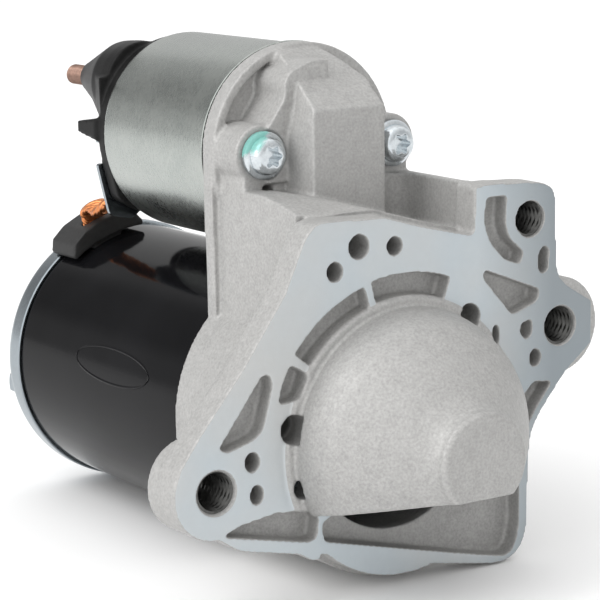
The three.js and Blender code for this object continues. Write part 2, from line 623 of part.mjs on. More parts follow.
function armatureWindings() {
  const bar = outline([[14.4, -1.1], [14.4, 1.1], [21.5, 2.5], [21.5, -2.5]]);
  const bars = [];
  for (let k = 0; k < CORE.slots; k++) {
    bars.push(plate(bar, CORE.front - 1, CORE.rear + 1).rotateY(-(k + 0.5) * 2 * Math.PI / CORE.slots));
  }
  const frontTurns = turned([[9, 60], [20.5, 60], [22, 60.9], [22, CORE.front - GAP], [9, CORE.front - GAP]], 20);
  const rearTurns = turned([[9, CORE.rear + GAP], [22, CORE.rear + GAP], [22, 104], [19.5, 106], [9, 106]], 20);
  return join(frontTurns, rearTurns, ...bars);
}

function commutator() {
  const cell = [[COMMUTATOR.r, -0.4], [12.7, -0.4], [12.7, 0.4], [COMMUTATOR.r, 0.4]];
  const segments = plate(slotted(CORE.slots, cell, 5.3), COMMUTATOR.front + 1, COMMUTATOR.rear, 6);
  return join(segments, tube(15.2, 5.3, COMMUTATOR.front, COMMUTATOR.front + 2.3, 20));
}

// ---------------------------------------------------------------- solenoid
const aboveMotor = (geometry) => geometry.translate(0, 0, SOL_Z);

function solenoidCan() {
  const shell = aboveMotor(turned([
    [9.6, YOKE_FRONT], [26.9, YOKE_FRONT], [26.9, YOKE_FRONT + 0.9], [CAN_R, YOKE_FRONT + 0.9],
    [CAN_R, 97.6], [25.9, CAN_REAR - 0.4], [25.2, CAN_REAR + 0.1], [24.7, CAN_REAR + 0.1], [24.7, 50.9], [9.6, 50.9],
  ], 40));
  return cut(shell, ...[-1, 1].map((s) => rod(3.3, 46, 52, s * SCREW_X, SCREW_Z, 16)));
}

const solenoidCore = () => aboveMotor(turned([
  [2.5, 85.4], [9.3, 85.4], [9.3, 88.4], [24.4, 88.4], [24.4, 93.1], [2.5, 93.1],
], 20));

const bobbin = () => aboveMotor(turned([
  [9.7, 51.2], [24.3, 51.2], [24.3, 52.8], [10.9, 52.8], [10.9, 86.5], [24.3, 86.5], [24.3, 88.1], [9.7, 88.1],
], 20));

const coil = () => aboveMotor(tube(23.6, 11.2, 53.1, 86.2, 28));

const STUD = { x: -10.5, z: 78.4, r: 2.8 };
const TOWER_REAR = 131.6;
const MOTOR_STUD = { x: -11.2, z: 53.2, r: 2.4 };
const HEADS = { front: 99.1, rear: 101.2, r: 4.2 };

function solenoidCap() {
  const base = aboveMotor(turned([[0, 93.4], [24.4, 93.4], [24.4, CAN_REAR + 0.4], [25.2, CAN_REAR + 0.4],
    [25.2, 103.2], [24.6, 104], [0, 104]], 32));
  const chamber = aboveMotor(rod(21.8, 93, 101.5, 0, 0, 20));
  const tower = turned([[0, 103], [11.6, 103], [11.4, 112], [4.4, TOWER_REAR - 0.6], [4, TOWER_REAR],
    [0, TOWER_REAR]], 24).translate(STUD.x, 0, STUD.z);
  const fin = [[-13.4, 130.4, 76], [-13.6, 130.4, 80], [-8, 130.4, 75.6], [-24.6, 103, 81], [-24.3, 103, 69.5],
    [-12, 103, 68], [-10, 103, 84]];
  const spadeBoss = [[-26, 103, 64.2], [-26, 103, 70.4], [-21, 103, 70.4], [-21, 103, 64.2], [-26.2, 112.6, 66],
    [-26.2, 112.6, 69], [-23.4, 112.6, 69], [-23.4, 112.6, 66]];
  const hull = (points) => new ConvexGeometry(points.map((p) => new THREE.Vector3(...p)));
  const wedge = plate(outline([[-4, 60], [-20, 63], [-24.1, 59], [-21.4, 48.5, 2], [-13, 43.8, 3], [-4, 45.5, 2]]),
    CAN_REAR + 0.4, 104);
  const solid = join(base, tower, hull(fin), hull(spadeBoss), wedge);
  return cut(solid, chamber, rod(STUD.r + GAP, 100, TOWER_REAR + 1, STUD.x, STUD.z, 20),
    rod(MOTOR_STUD.r + GAP, 100, 105, MOTOR_STUD.x, MOTOR_STUD.z, 20));
}

function batteryStud() {
  const shank = turned([[0, 100], [STUD.r, 100], [STUD.r, 142.2], [2.1, 143], [0, 143]], 20);
  return join(shank.translate(STUD.x, 0, STUD.z), rod(HEADS.r, HEADS.front, HEADS.rear, STUD.x, STUD.z, 24));
}

function motorTerminalBolt() {
  const { x, z, r } = MOTOR_STUD;
  return join(rod(r, 100, 106.4, x, z, 20), rod(HEADS.r, HEADS.front, HEADS.rear, x, z, 24),
    rod(3.6, 105.8, 107, x, z, 20));
}

function motorTerminalPlate() {
  const shape = outline([[-7, 58, 2], [-24.9, 57.9, 1], [-22.6, 48, 1], [-21.5, 43.6, 1.5], [-14.6, 42.2, 1.5],
    [-6.6, 49, 3]]);
  return cut(plate(shape, 104.3, 105.5), rod(MOTOR_STUD.r + GAP, 104, 106, MOTOR_STUD.x, MOTOR_STUD.z, 20));
}

const spadeTerminal = () => box(-20.4, -19.6, 104.3, 113, 62.6, 68.9);

const contactDisc = () => aboveMotor(tube(14.6, 2.5, 95.3, 96.8, 24));

const contactRod = () => aboveMotor(rod(2.2, 68.3, 98.4, 0, 0, 18));

function plunger() {
  const body = aboveMotor(turned([
    [0, 25.2], [6, 25.2], [6.4, 25.6], [6.4, 44.5], [PLUNGER_R, 45.5], [PLUNGER_R, 74.6], [8.8, 75], [6.5, 75],
    [6.5, 60], [0, 60],
  ], 20));
  return cut(body, box(-3.4, 3.4, 26.7, 34.3, SOL_Z - 10, SOL_Z + 4.2));
}

const returnSpring = () => aboveMotor(spring(5.3, 0.7, 24.6, 6).translate(0, 60.3, 0));

function solenoidScrew(side) {
  const under = SCREW_SEAT - GAP;
  const head = turned([[0, under - 4.7], [3.4, under - 4.6], [4.4, under - 3.8], [4.8, under - 1.8],
    [5.9, under - 1.4], [5.9, under], [3, under], [3, 50.6], [0, 50.6]], 16);
  const star = new THREE.Shape();
  for (let k = 0; k < 12; k++) {
    const r = k % 2 === 0 ? 2.8 : 2;
    const a = rad(k * 30);
    if (k === 0) star.moveTo(r * Math.cos(a), r * Math.sin(a));
    else star.lineTo(r * Math.cos(a), r * Math.sin(a));
  }
  star.closePath();
  return cut(head, plate(star, under - 6, under - 2.4)).translate(side * SCREW_X, 0, SCREW_Z);
}

// ---------------------------------------------------------------- motor lead and grommet
function grommet() {
  const place = (r, deg) => [r * Math.cos(rad(deg)), r * Math.sin(rad(deg))];
  const outer = [[38.4, 92], [40.8, 95], [42, 102], [42.4, 110], [42, 118], [40.8, 125], [38.4, 128]];
  const inner = [128, 122, 116, 110, 104, 98, 92].map((deg) => place(37.1, deg));
  const shape = new THREE.Shape([...outer.map(([r, deg]) => place(r, deg)), ...inner]
    .map(([x, z]) => new THREE.Vector2(x, z)));
  const plug = atLead(box(34, 39, LEAD.notchFront + GAP, YOKE_REAR - GAP, GAP - LEAD.notchHalf,
    LEAD.notchHalf - GAP));
  const hole = atLead(leadSection(LEAD.wide + GAP, LEAD.thick + GAP, 16));
  return cut(join(plate(shape, 121.6, 135), plug), hole);
}

/** Straight rod with the lead's oval section, along the radius through its hole. */
function leadSection(halfWide, halfThick, sides) {
  const geometry = new THREE.CylinderGeometry(1, 1, 20, sides).scale(halfThick, 1, halfWide);
  return geometry.rotateZ(Math.PI / 2).translate(38, LEAD.y, 0);
}

function motorLead() {
  const at = (y, r, shift = 0) => new THREE.Vector3(-shift, y, r);
  const path = new THREE.CatmullRomCurve3([
    at(107.4, 50.5, 1.5), at(109.6, 49.8, 2), at(113.4, 47.8, 2), at(118, 46.4, 1), at(123, 46.4), at(126.3, 45),
    at(LEAD.y, 42.6), at(LEAD.y, 39), at(LEAD.y, 35), at(LEAD.y, 31), at(LEAD.y + 0.9, 28), at(LEAD.y + 1.3, 24),
  ]);
  const section = new THREE.Shape();
  section.absellipse(0, 0, LEAD.wide, LEAD.thick, 0, 2 * Math.PI, false, 0);
  const options = { steps: 22, bevelEnabled: false, extrudePath: path, curveSegments: 4 };
  return new THREE.ExtrudeGeometry(section, options).rotateY(-rad(LEAD.angle - 90));
}

// ---------------------------------------------------------------- assembly
const MATERIALS = {
  cast: { color: 0xb4b3af, roughness: 0.6, metalness: 0.6 },
  blackPaint: { color: 0x0c0c0e, roughness: 0.18, metalness: 0.1 },
  zinc: { color: 0xa9aca6, roughness: 0.32, metalness: 0.9 },
  steel: { color: 0x8f9296, roughness: 0.35, metalness: 0.95 },
  darkSteel: { color: 0x55585c, roughness: 0.45, metalness: 0.9 },
  copper: { color: 0xb5673a, roughness: 0.38, metalness: 0.9 },
  bronze: { color: 0xa9804b, roughness: 0.45, metalness: 0.85 },
  rubber: { color: 0x18181a, roughness: 0.8, metalness: 0 },
  plastic: { color: 0x1b1b1d, roughness: 0.6, metalness: 0 },
  carbon: { color: 0x39312c, roughness: 0.7, metalness: 0.2 },
  ferrite: { color: 0x3c3d40, roughness: 0.7, metalness: 0.2 },
};

const motor = new THREE.Group();
motor.name = 'starter_motor';

function add(name, finish, geometry) {
  const shell = closed(geometry);
  const faceted = shell.toNonIndexed();
  faceted.computeVertexNormals();
  const mesh = new THREE.Mesh(faceted, new THREE.MeshStandardMaterial({ name: finish, ...MATERIALS[finish] }));
  mesh.name = name;
  motor.add(mesh);
}

add('drive_housing', 'cast', housing());
add('front_bush', 'bronze', frontBush());
add('support_plate', 'steel', supportPlate());
add('support_bush', 'bronze', supportBush());
add('ring_gear', 'darkSteel', ringGear());
add('centre_plate', 'zinc', centrePlate());
add('output_shaft', 'steel', outputShaft());
add('stop_ring', 'darkSteel', stopRing());
PLANET_ANGLES.forEach((angle, i) => {
  const { x, z } = onOrbit(PLANET_ORBIT, angle);
  add(`planet_gear_${i + 1}`, 'darkSteel', planetGear().translate(x, 0, z));
  add(`planet_pin_${i + 1}`, 'steel', planetPin().translate(x, 0, z));
});
add('clutch_drum', 'steel', clutchDrum());
add('fork_collar', 'plastic', forkCollar());
add('drive_pinion', 'darkSteel', pinion());
add('shift_lever', 'darkSteel', shiftLever());
add('lever_pin', 'steel', leverPin());
add('yoke', 'blackPaint', yoke());
[24.3, 114.3, 204.3, 294.3].forEach((from, i) => add(`magnet_${i + 1}`, 'ferrite', magnet(from)));
add('rear_cover', 'zinc', rearCover());
add('rear_bush', 'bronze', rearBush());
add('brush_plate', 'plastic', brushPlate());
BRUSH_ANGLES.forEach((angle, i) => {
  add(`brush_${i + 1}`, 'carbon', brush(angle));
  add(`brush_spring_${i + 1}`, 'steel', brushSpring(angle));
});
THROUGH_BOLT.angles.forEach((angle, i) => add(`through_bolt_${i + 1}`, 'zinc', throughBolt(angle)));
add('armature_shaft', 'steel', armatureShaft());
add('armature_core', 'darkSteel', armatureCore());
add('armature_windings', 'copper', armatureWindings());
add('commutator', 'copper', commutator());
add('solenoid_can', 'zinc', solenoidCan());
add('solenoid_core', 'steel', solenoidCore());
add('solenoid_bobbin', 'plastic', bobbin());
add('solenoid_coil', 'copper', coil());
add('solenoid_cap', 'plastic', solenoidCap());
add('battery_stud', 'copper', batteryStud());
add('motor_terminal_bolt', 'copper', motorTerminalBolt());
add('motor_terminal_plate', 'zinc', motorTerminalPlate());
add('spade_terminal', 'zinc', spadeTerminal());
add('contact_disc', 'copper', contactDisc());
add('contact_rod', 'steel', contactRod());
add('plunger', 'steel', plunger());
add('return_spring', 'steel', returnSpring());
[['left', -1], ['right', 1]].forEach(([name, side]) => add(`solenoid_screw_${name}`, 'zinc', solenoidScrew(side)));
add('motor_lead', 'copper', motorLead());
add('lead_grommet', 'rubber', grommet());

export default motor;
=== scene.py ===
"""Looks of a car starter motor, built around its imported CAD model.

Shapes are written in millimetres in the CAD's frame: the motor axis is Y with the nose towards -Y,
and the solenoid lies above it at z = 66. They become metres where meshes are made.
"""
import json
import math
import random

import bmesh
import bpy
from mathutils import Matrix, Vector


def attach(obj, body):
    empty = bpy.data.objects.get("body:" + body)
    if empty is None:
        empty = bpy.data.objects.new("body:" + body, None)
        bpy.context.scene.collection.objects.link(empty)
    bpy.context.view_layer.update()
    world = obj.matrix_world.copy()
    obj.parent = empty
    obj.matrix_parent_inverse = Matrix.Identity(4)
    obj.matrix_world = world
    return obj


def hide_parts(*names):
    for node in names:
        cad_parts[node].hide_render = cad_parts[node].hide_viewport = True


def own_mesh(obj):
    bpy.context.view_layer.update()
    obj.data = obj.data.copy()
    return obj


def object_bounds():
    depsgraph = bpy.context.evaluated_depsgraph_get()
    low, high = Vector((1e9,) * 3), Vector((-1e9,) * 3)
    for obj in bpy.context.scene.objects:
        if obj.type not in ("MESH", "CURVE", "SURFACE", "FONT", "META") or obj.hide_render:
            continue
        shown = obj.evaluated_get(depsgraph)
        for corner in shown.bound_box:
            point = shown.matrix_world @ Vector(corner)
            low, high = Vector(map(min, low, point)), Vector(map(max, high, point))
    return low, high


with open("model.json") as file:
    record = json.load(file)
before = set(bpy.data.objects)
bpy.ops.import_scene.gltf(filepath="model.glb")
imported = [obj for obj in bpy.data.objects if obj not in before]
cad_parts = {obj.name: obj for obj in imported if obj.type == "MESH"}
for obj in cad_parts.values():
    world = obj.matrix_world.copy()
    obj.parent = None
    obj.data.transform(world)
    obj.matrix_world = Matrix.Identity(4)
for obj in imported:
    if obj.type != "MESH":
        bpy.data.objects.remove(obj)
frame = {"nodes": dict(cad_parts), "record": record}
cad_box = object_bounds()

MM = 0.001
PER_CM, PER_DM = 100.0, 10.0            # what turns metres into centimetres and decimetres
VOXEL = 0.42     # cell size of the casting's surface, mm

# Stations along the motor axis and radii about it, as in the CAD
RECESS = 4.5
CORED_DEPTH = 7
BORE_DEPTH = 18
HOUSING_REAR = 47.5
PAST_REAR = HOUSING_REAR + 1            # where cuts that run out of the housing end
YOKE_FRONT, YOKE_REAR = 47.8, 131.5
YOKE_R, YOKE_BORE = 36.0, 33.6
COVER_REAR = 140.0
DOME_R, BOSS_R = 32.3, 12.3
SOL_Z = 66.0
CAN_R, CAN_REAR = 26.2, 99.0
SEAT_R = 26.8
SCREW_X, SCREW_Z, SCREW_SEAT = 19.2, 67.1, 32
STUD_X, STUD_Z, STUD_R = -10.5, 78.4, 2.8
TOWER_REAR = 131.6
BOLT_ORBIT, BOLT_ANGLES, BOLT_R = 30.85, (14.3, 194.3), 2.4
LEAD_ANGLE, LEAD_Y = 110.0, 127.0


# ---------------------------------------------------------------- camera
def make_camera():
    """Camera at the photograph's viewpoint."""
    place = (-0.33232, -0.45586, 0.14179)
    azimuth, elevation, roll = (math.radians(a) for a in (-33.518, 10.823, -0.819))
    back = Vector((math.sin(azimuth) * math.cos(elevation), -math.cos(azimuth) * math.cos(elevation),
                   math.sin(elevation)))
    level_right = (-back).cross(Vector((0, 0, 1))).normalized()
    level_up = level_right.cross(-back)
    right = level_right * math.cos(roll) + level_up * math.sin(roll)
    up = level_up * math.cos(roll) - level_right * math.sin(roll)
    data = bpy.data.cameras.new("camera")
    data.lens, data.sensor_width = 143.95, 36
    data.shift_x, data.shift_y = 0.0031, 0.0007
    data.clip_start, data.clip_end = 0.01, 20
    camera = bpy.data.objects.new("camera", data)
    camera.matrix_world = Matrix((
        (right.x, up.x, back.x, place[0]), (right.y, up.y, back.y, place[1]),
        (right.z, up.z, back.z, place[2]), (0, 0, 0, 1)))
    bpy.context.scene.collection.objects.link(camera)
    bpy.context.scene.camera = camera


make_camera()


# ---------------------------------------------------------------- meshes
def add_object(name, mesh):
    obj = bpy.data.objects.new(name, mesh)
    bpy.context.scene.collection.objects.link(obj)
    return obj


def solid(name, points, faces):
    """Closed mesh object from points in millimetres."""
    mesh = bpy.data.meshes.new(name)
    mesh.from_pydata([Vector(p) * MM for p in points], [], faces)
    bm = bmesh.new()
    bm.from_mesh(mesh)
    bmesh.ops.recalc_face_normals(bm, faces=bm.faces)
    bm.to_mesh(mesh)
    bm.free()
    return add_object(name, mesh)


def turned(name, profile, segments=96, x=0.0, z=0.0):
    """Solid of revolution about a line along Y; the profile is a list of (radius, y)."""
    points, rings = [], []
    for r, y in profile:
        if r == 0:
            rings.append([len(points)])
            points.append((x, y, z))
        else:
            rings.append(list(range(len(points), len(points) + segments)))
            turns = (2 * math.pi * k / segments for k in range(segments))
            points.extend((x + r * math.cos(a), y, z + r * math.sin(a)) for a in turns)
    closed = profile[0][0] > 0
    faces = []
    for i in range(len(rings) if closed else len(rings) - 1):
        a, b = rings[i], rings[(i + 1) % len(rings)]
        for k in range(segments):
            n = (k + 1) % segments
            if len(a) == 1 and len(b) == 1:
                break
            if len(a) == 1:
                faces.append((a[0], b[k], b[n]))
            elif len(b) == 1:
                faces.append((a[k], b[0], a[n]))
            else:
                faces.append((a[k], b[k], b[n], a[n]))
    return solid(name, points, faces)


def rod(r, y0, y1, x=0.0, z=0.0, segments=48):
    return turned("rod", [(0, y0), (r, y0), (r, y1), (0, y1)], segments, x, z)


def tube(outer, inner, y0, y1, segments=128):
    return turned("tube", [(outer, y0), (outer, y1), (inner, y1), (inner, y0)], segments)


def prism(corners, low, high, place):
    """Prism over a polygon; place(a, b, height) puts a corner in space."""
    n = len(corners)
    points = [place(a, b, low) for a, b in corners] + [place(a, b, high) for a, b in corners]
    faces = [tuple(range(n)), tuple(range(n, 2 * n))]
    faces += [(i, (i + 1) % n, n + (i + 1) % n, n + i) for i in range(n)]
    return solid("prism", points, faces)


def plate(corners, y0, y1):
    """Polygon of (x, z) corners made solid along Y."""
    return prism(corners, y0, y1, lambda a, b, h: (a, h, b))


def standing(corners, z0, z1):
    """Polygon of (x, y) corners made solid along Z."""
    return prism(corners, z0, z1, lambda a, b, h: (a, b, h))


def sideways(corners, x0, x1):
    """Polygon of (y, z) corners made solid along X."""
    return prism(corners, x0, x1, lambda a, b, h: (h, a, b))


def block(x0, x1, y0, y1, z0, z1):
    return plate([(x0, z0), (x1, z0), (x1, z1), (x0, z1)], y0, y1)


def hull(points):
    mesh = bpy.data.meshes.new("hull")
    bm = bmesh.new()
    for p in points:
        bm.verts.new(Vector(p) * MM)
    found = bmesh.ops.convex_hull(bm, input=bm.verts)
    loose = [g for g in found["geom_interior"] + found["geom_unused"] if isinstance(g, bmesh.types.BMVert)]
    bmesh.ops.delete(bm, geom=loose, context="VERTS")
    bm.to_mesh(mesh)
    bm.free()
    return add_object("hull", mesh)


def outline(points, steps=8):
    """Corners of a polygon whose (a, b, radius) points are rounded where they have a radius."""
    corners = []
    for i, point in enumerate(points):
        corner = Vector(point[:2])
        radius = point[2] if len(point) > 2 else 0
        if radius == 0:
            corners.append(tuple(corner))
            continue
        legs = [Vector(points[j % len(points)][:2]) - corner for j in (i - 1, i + 1)]
        start, end = (corner + leg.normalized() * min(radius, 0.48 * leg.length) for leg in legs)
        for k in range(steps + 1):
            t = k / steps
            corners.append(tuple(start * (1 - t) ** 2 + corner * 2 * t * (1 - t) + end * t ** 2))
    return corners


def sector(inner, outer, start, end, steps=32, z=0.0):
    """Corners of a ring sector, angles in degrees from +X towards +Z."""
    def arc(r, a, b):
        return [(r * math.cos(math.radians(a + (b - a) * k / steps)),
                 z + r * math.sin(math.radians(a + (b - a) * k / steps))) for k in range(steps + 1)]
    return arc(outer, start, end) + arc(inner, end, start)


def on_orbit(orbit, angle):
    return orbit * math.cos(math.radians(angle)), orbit * math.sin(math.radians(angle))


def drop(objects):
    for obj in objects:
        mesh = obj.data
        bpy.data.objects.remove(obj)
        bpy.data.meshes.remove(mesh)


def bake(obj):
    """Replaces an object's mesh by what its modifiers make of it."""
    bpy.context.view_layer.update()
    result = bpy.data.meshes.new_from_object(obj.evaluated_get(bpy.context.evaluated_depsgraph_get()))
    old = obj.data
    obj.modifiers.clear()
    obj.data = result
    bpy.data.meshes.remove(old)


def combine(obj, others, operation):
    """Joins the other solids to obj, or takes them out of it."""
    group = bpy.data.collections.new("operands")
    for other in others:
        group.objects.link(other)
    modifier = obj.modifiers.new("combine", "BOOLEAN")
    modifier.operation, modifier.solver = operation, "EXACT"
    modifier.operand_type, modifier.collection = "COLLECTION", group
    modifier.use_self = operation == "UNION"
    bake(obj)
    bpy.data.collections.remove(group)
    drop(others)
    return obj


def soften(obj, voxel, rounds):
    """Even skin of small cells with its edges rounded, like a casting or a moulding."""
    modifier = obj.modifiers.new("skin", "REMESH")
    modifier.mode, modifier.voxel_size = "VOXEL", voxel * MM
    smooth = obj.modifiers.new("round", "SMOOTH")
    smooth.factor, smooth.iterations = 0.5, rounds
    bake(obj)
    shade_smooth(obj)
    return obj


def shade_smooth(obj, angle=180):
    obj.data.shade_smooth()
    if angle < 180:
        bpy.context.view_layer.objects.active = obj
        obj.select_set(True)
        bpy.ops.object.shade_smooth_by_angle(angle=math.radians(angle))
        obj.select_set(False)


def finish_piece(obj, name, material, slot, *nodes):
    """Names and paints a piece, and puts it in place of CAD nodes."""
    obj.name = obj.data.name = name
    obj.data.materials.clear()
    obj.data.materials.append(material)
    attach(obj, "stator")
    if nodes:
        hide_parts(*nodes)
    return obj


# ---------------------------------------------------------------- materials
class Tree:
    """A node tree, with short names for the nodes used here."""

    def __init__(self, tree):
        self.tree = tree

    def add(self, kind, **values):
        node = self.tree.nodes.new(kind)
        for key, value in values.items():
            setattr(node, key, value)
        return node

    def link(self, source, target):
        self.tree.links.new(source, target)

    def ramp(self, source, *stops):
        """Colour ramp from (position, colour or grey) stops."""
        node = self.add("ShaderNodeValToRGB")
        elements = node.color_ramp.elements
        while len(elements) < len(stops):
            elements.new(0.5)
        for element, (position, value) in zip(elements, stops):
            element.position = position
            grey = isinstance(value, (int, float))
            element.color = (value, value, value, 1) if grey else (*value, 1)
        self.link(source, node.inputs["Fac"])
        return node.outputs["Color"]

    def math(self, operation, a, b=None, c=None, clamp=False):
        node = self.add("ShaderNodeMath", operation=operation, use_clamp=clamp)
        for socket, value in zip(node.inputs, (a, b, c)):
            if value is None:
                continue
            if isinstance(value, (int, float)):
                socket.default_value = value
            else:
                self.link(value, socket)
        return node.outputs["Value"]

    def mix(self, factor, a, b):
        node = self.add("ShaderNodeMix", data_type="RGBA")
        for name, value in (("Factor", factor), ("A", a), ("B", b)):
            socket = next(s for s in node.inputs if s.name == name and s.enabled)
            if isinstance(value, tuple):
                socket.default_value = (*value, 1)
            elif isinstance(value, (int, float)):
                socket.default_value = value
            else:
                self.link(value, socket)
        return next(s for s in node.outputs if s.enabled)

    def axis(self, vector, name):
        node = self.add("ShaderNodeSeparateXYZ")
        self.link(vector, node.inputs[0])
        return node.outputs[name]


class Nodes(Tree):
    """A material's nodes, started afresh or from a copy of a material made here."""

    def __init__(self, name, original=None):
        self.material = original.copy() if original else bpy.data.materials.new(name)
        self.material.name = name
        self.material.use_nodes = True
        super().__init__(self.material.node_tree)
        self.shader = self.tree.nodes["Principled BSDF"]
        source = self.tree.nodes["Texture Coordinate"] if original else self.add("ShaderNodeTexCoord")
        self.place = source.outputs["Object"]

    def noise(self, scale, detail=4.0, rough=0.55, stretch=None):
        """Noise over the object's own coordinates; the scale is in features per metre."""
        node = self.add("ShaderNodeTexNoise")
        node.inputs["Scale"].default_value = scale
        node.inputs["Detail"].default_value = detail
        node.inputs["Roughness"].default_value = rough
        source = self.place
        if stretch:
            mapping = self.add("ShaderNodeMapping")
            mapping.inputs["Scale"].default_value = stretch
            self.link(source, mapping.inputs["Vector"])
            source = mapping.outputs["Vector"]
        self.link(source, node.inputs["Vector"])
        return node.outputs["Fac"]

    def cells(self, scale):
        node = self.add("ShaderNodeTexVoronoi")
        node.inputs["Scale"].default_value = scale
        self.link(self.place, node.inputs["Vector"])
        return node.outputs["Distance"]

    def bump(self, height, distance_mm, strength=1.0, after=None):
        node = self.add("ShaderNodeBump")
        node.inputs["Strength"].default_value = strength
        node.inputs["Distance"].default_value = distance_mm * MM
        self.link(height, node.inputs["Height"])
        if after is not None:
            self.link(after, node.inputs["Normal"])
        return node.outputs["Normal"]

    def shine(self, color=None, roughness=None, metallic=None, normal=None, **constants):
        wanted = {"Base Color": color, "Roughness": roughness, "Metallic": metallic, "Normal": normal}
        for name, value in wanted.items():
            if value is None:
                continue
            socket = self.shader.inputs[name]
            if isinstance(value, tuple):
                socket.default_value = (*value, 1)
            elif isinstance(value, (int, float)):
                socket.default_value = value
            else:
                self.link(value, socket)
        for name, value in constants.items():
            self.shader.inputs[name.replace("_", " ").title().replace("Ior", "IOR")].default_value = value
        return self.material


def cast_aluminium():
    """Die-cast skin with painted shade darkening the bottom of the holes, and a machined face on the flange
    with painted shade darkening it towards the right ears.
    """
    n = Nodes("cast_aluminium")
    geometry = n.add("ShaderNodeNewGeometry")
    forward = n.math("MULTIPLY", n.axis(geometry.outputs["Normal"], "Y"), -1.0)
    station = n.axis(n.place, "Y")
    face_depth = 0.35 * MM
    at_face = n.math("COMPARE", station, 0.0, face_depth)
    flat = n.math("MULTIPLY", n.math("GREATER_THAN", forward, 0.9), at_face)
    # painted shade: the forward-facing floors of the pockets and cored holes are darkened nearly to black
    # in centimetres behind the face: the pockets' floors lie at 0.45, and the cored holes' at 0.7
    recess_shade_ramp = n.ramp(n.math("MULTIPLY", station, PER_CM), (0.40, 0.0), (0.44, 0.12), (0.62, 0.16), (0.68, 0.95),
                   (0.74, 0.95), (0.78, 0.0))
    painted_recess_shade = n.math("MULTIPLY", forward, recess_shade_ramp, clamp=True)
    grain = n.noise(1500, 3, 0.6)
    patches = n.noise(70, 3, 0.5)
    pits = n.cells(900)
    mottle = n.math("ADD", n.math("MULTIPLY", grain, 0.72), n.math("MULTIPLY", n.noise(320, 3, 0.6), 0.28))
    skin = n.ramp(mottle, (0.3, (0.30, 0.297, 0.29)), (0.7, (0.48, 0.475, 0.465)))
    skin = n.mix(n.math("MULTIPLY", patches, 0.3), skin, (0.40, 0.397, 0.39))
    tint = n.ramp(n.noise(22, 3, 0.5), (0.35, (0.50, 0.50, 0.49)), (0.6, (0.44, 0.49, 0.52)))
    milled_and_painted_shade = n.mix(n.math("MULTIPLY", n.noise(420, 4, 0.6), 0.35), tint, (0.56, 0.60, 0.62))
    # in decimetres: painted shade darkens the machined face towards the right ears, standing in for the
    # light's fall-off
    painted_falloff_to_ear = n.ramp(n.math("MULTIPLY", n.axis(n.place, "X"), PER_DM), (0.22, 0.0), (0.46, 0.85))
    milled_and_painted_shade = n.mix(painted_falloff_to_ear, milled_and_painted_shade, (0.22, 0.25, 0.27))
    color = n.mix(flat, n.mix(painted_recess_shade, skin, (0.03, 0.032, 0.028)), milled_and_painted_shade)
    rough_skin = n.ramp(pits, (0.0, 0.5), (0.6, 0.62))
    roughness = n.mix(flat, rough_skin, (0.42, 0.42, 0.42))
    height = n.math("ADD", n.math("MULTIPLY", grain, 0.6), n.math("MULTIPLY", pits, 0.4))
    height = n.math("MULTIPLY", height, n.math("SUBTRACT", 1.0, n.math("MULTIPLY", flat, 0.9)))
    normal = n.bump(height, 0.12, 0.5, after=n.bump(n.noise(420, 3, 0.6), 0.14, 0.4))
    return n.shine(color, roughness, 0.4, normal)


def plated(name, dark, light, roughness=(0.2, 0.34), streaks=(1.0, 14.0, 1.0), speckle=900, relief=0.02):
    """Plated or bare metal with fine drawn streaks and small blotches."""
    n = Nodes(name)
    lines = n.noise(speckle, 3, 0.6, stretch=streaks)
    cloud = n.noise(60, 4, 0.6)
    tone = n.math("ADD", n.math("MULTIPLY", lines, 0.55), n.math("MULTIPLY", cloud, 0.45))
    color = n.ramp(tone, (0.3, dark), (0.7, light))
    rough = n.ramp(tone, (0.3, roughness[0]), (0.7, roughness[1]))
    return n.shine(color, rough, 1.0, n.bump(lines, relief, 0.3))


def gloss_black():
    """Sprayed black enamel: nearly flat, with a faint orange peel and a little dust."""
    n = Nodes("gloss_black")
    peel = n.noise(420, 2, 0.5)
    dust = n.ramp(n.noise(160, 6, 0.7), (0.45, 0.09), (0.75, 0.16))
    color = n.ramp(n.noise(35, 3, 0.5), (0.3, (0.003, 0.003, 0.0035)), (0.8, (0.007, 0.007, 0.008)))
    return n.shine(color, dust, 0.0, n.bump(peel, 0.012, 0.2), specular_ior_level=0.1)


def moulded(name, base, roughness, grain_mm=0.04, scale=1400, specular=0.3):
    """Moulded plastic or rubber with a fine grain."""
    n = Nodes(name)
    grain = n.noise(scale, 3, 0.6)
    cloud = n.noise(90, 3, 0.5)
    light = tuple(min(1.0, c * 1.7 + 0.004) for c in base)
    color = n.ramp(n.math("ADD", n.math("MULTIPLY", grain, 0.5), n.math("MULTIPLY", cloud, 0.5)),
                   (0.35, base), (0.7, light))
    rough = n.ramp(cloud, (0.3, roughness - 0.06), (0.7, roughness + 0.06))
    return n.shine(color, rough, 0.0, n.bump(grain, grain_mm, 0.5), specular_ior_level=specular)


EVEN = (1, 1, 1)                        # blotches alike in every direction, with no streaks
CAST = cast_aluminium()
BLACK_PAINT = gloss_black()
CAN_ZINC = plated("can_zinc", (0.33, 0.355, 0.34), (0.47, 0.49, 0.465), (0.22, 0.34),
                  streaks=(1.0, 3.0, 1.0), speckle=700, relief=0.004)
COVER_ZINC = plated("cover_zinc", (0.24, 0.27, 0.29), (0.38, 0.42, 0.45), (0.16, 0.28), relief=0.006)
SCREW_ZINC = plated("screw_zinc", (0.48, 0.52, 0.55), (0.74, 0.78, 0.80), (0.12, 0.24),
                    streaks=EVEN, speckle=1200)
STEEL = plated("turned_steel", (0.40, 0.41, 0.42), (0.60, 0.61, 0.62), (0.22, 0.34), streaks=(1, 18, 1))
DARK_STEEL = plated("dark_steel", (0.14, 0.145, 0.15), (0.26, 0.265, 0.27), (0.32, 0.48), streaks=EVEN)
CUT_THREAD = plated("cut_thread", (0.05, 0.05, 0.048), (0.15, 0.15, 0.145), (0.3, 0.45), streaks=EVEN)
COPPER = plated("copper", (0.42, 0.17, 0.08), (0.80, 0.40, 0.22), (0.28, 0.45), streaks=EVEN, speckle=700)
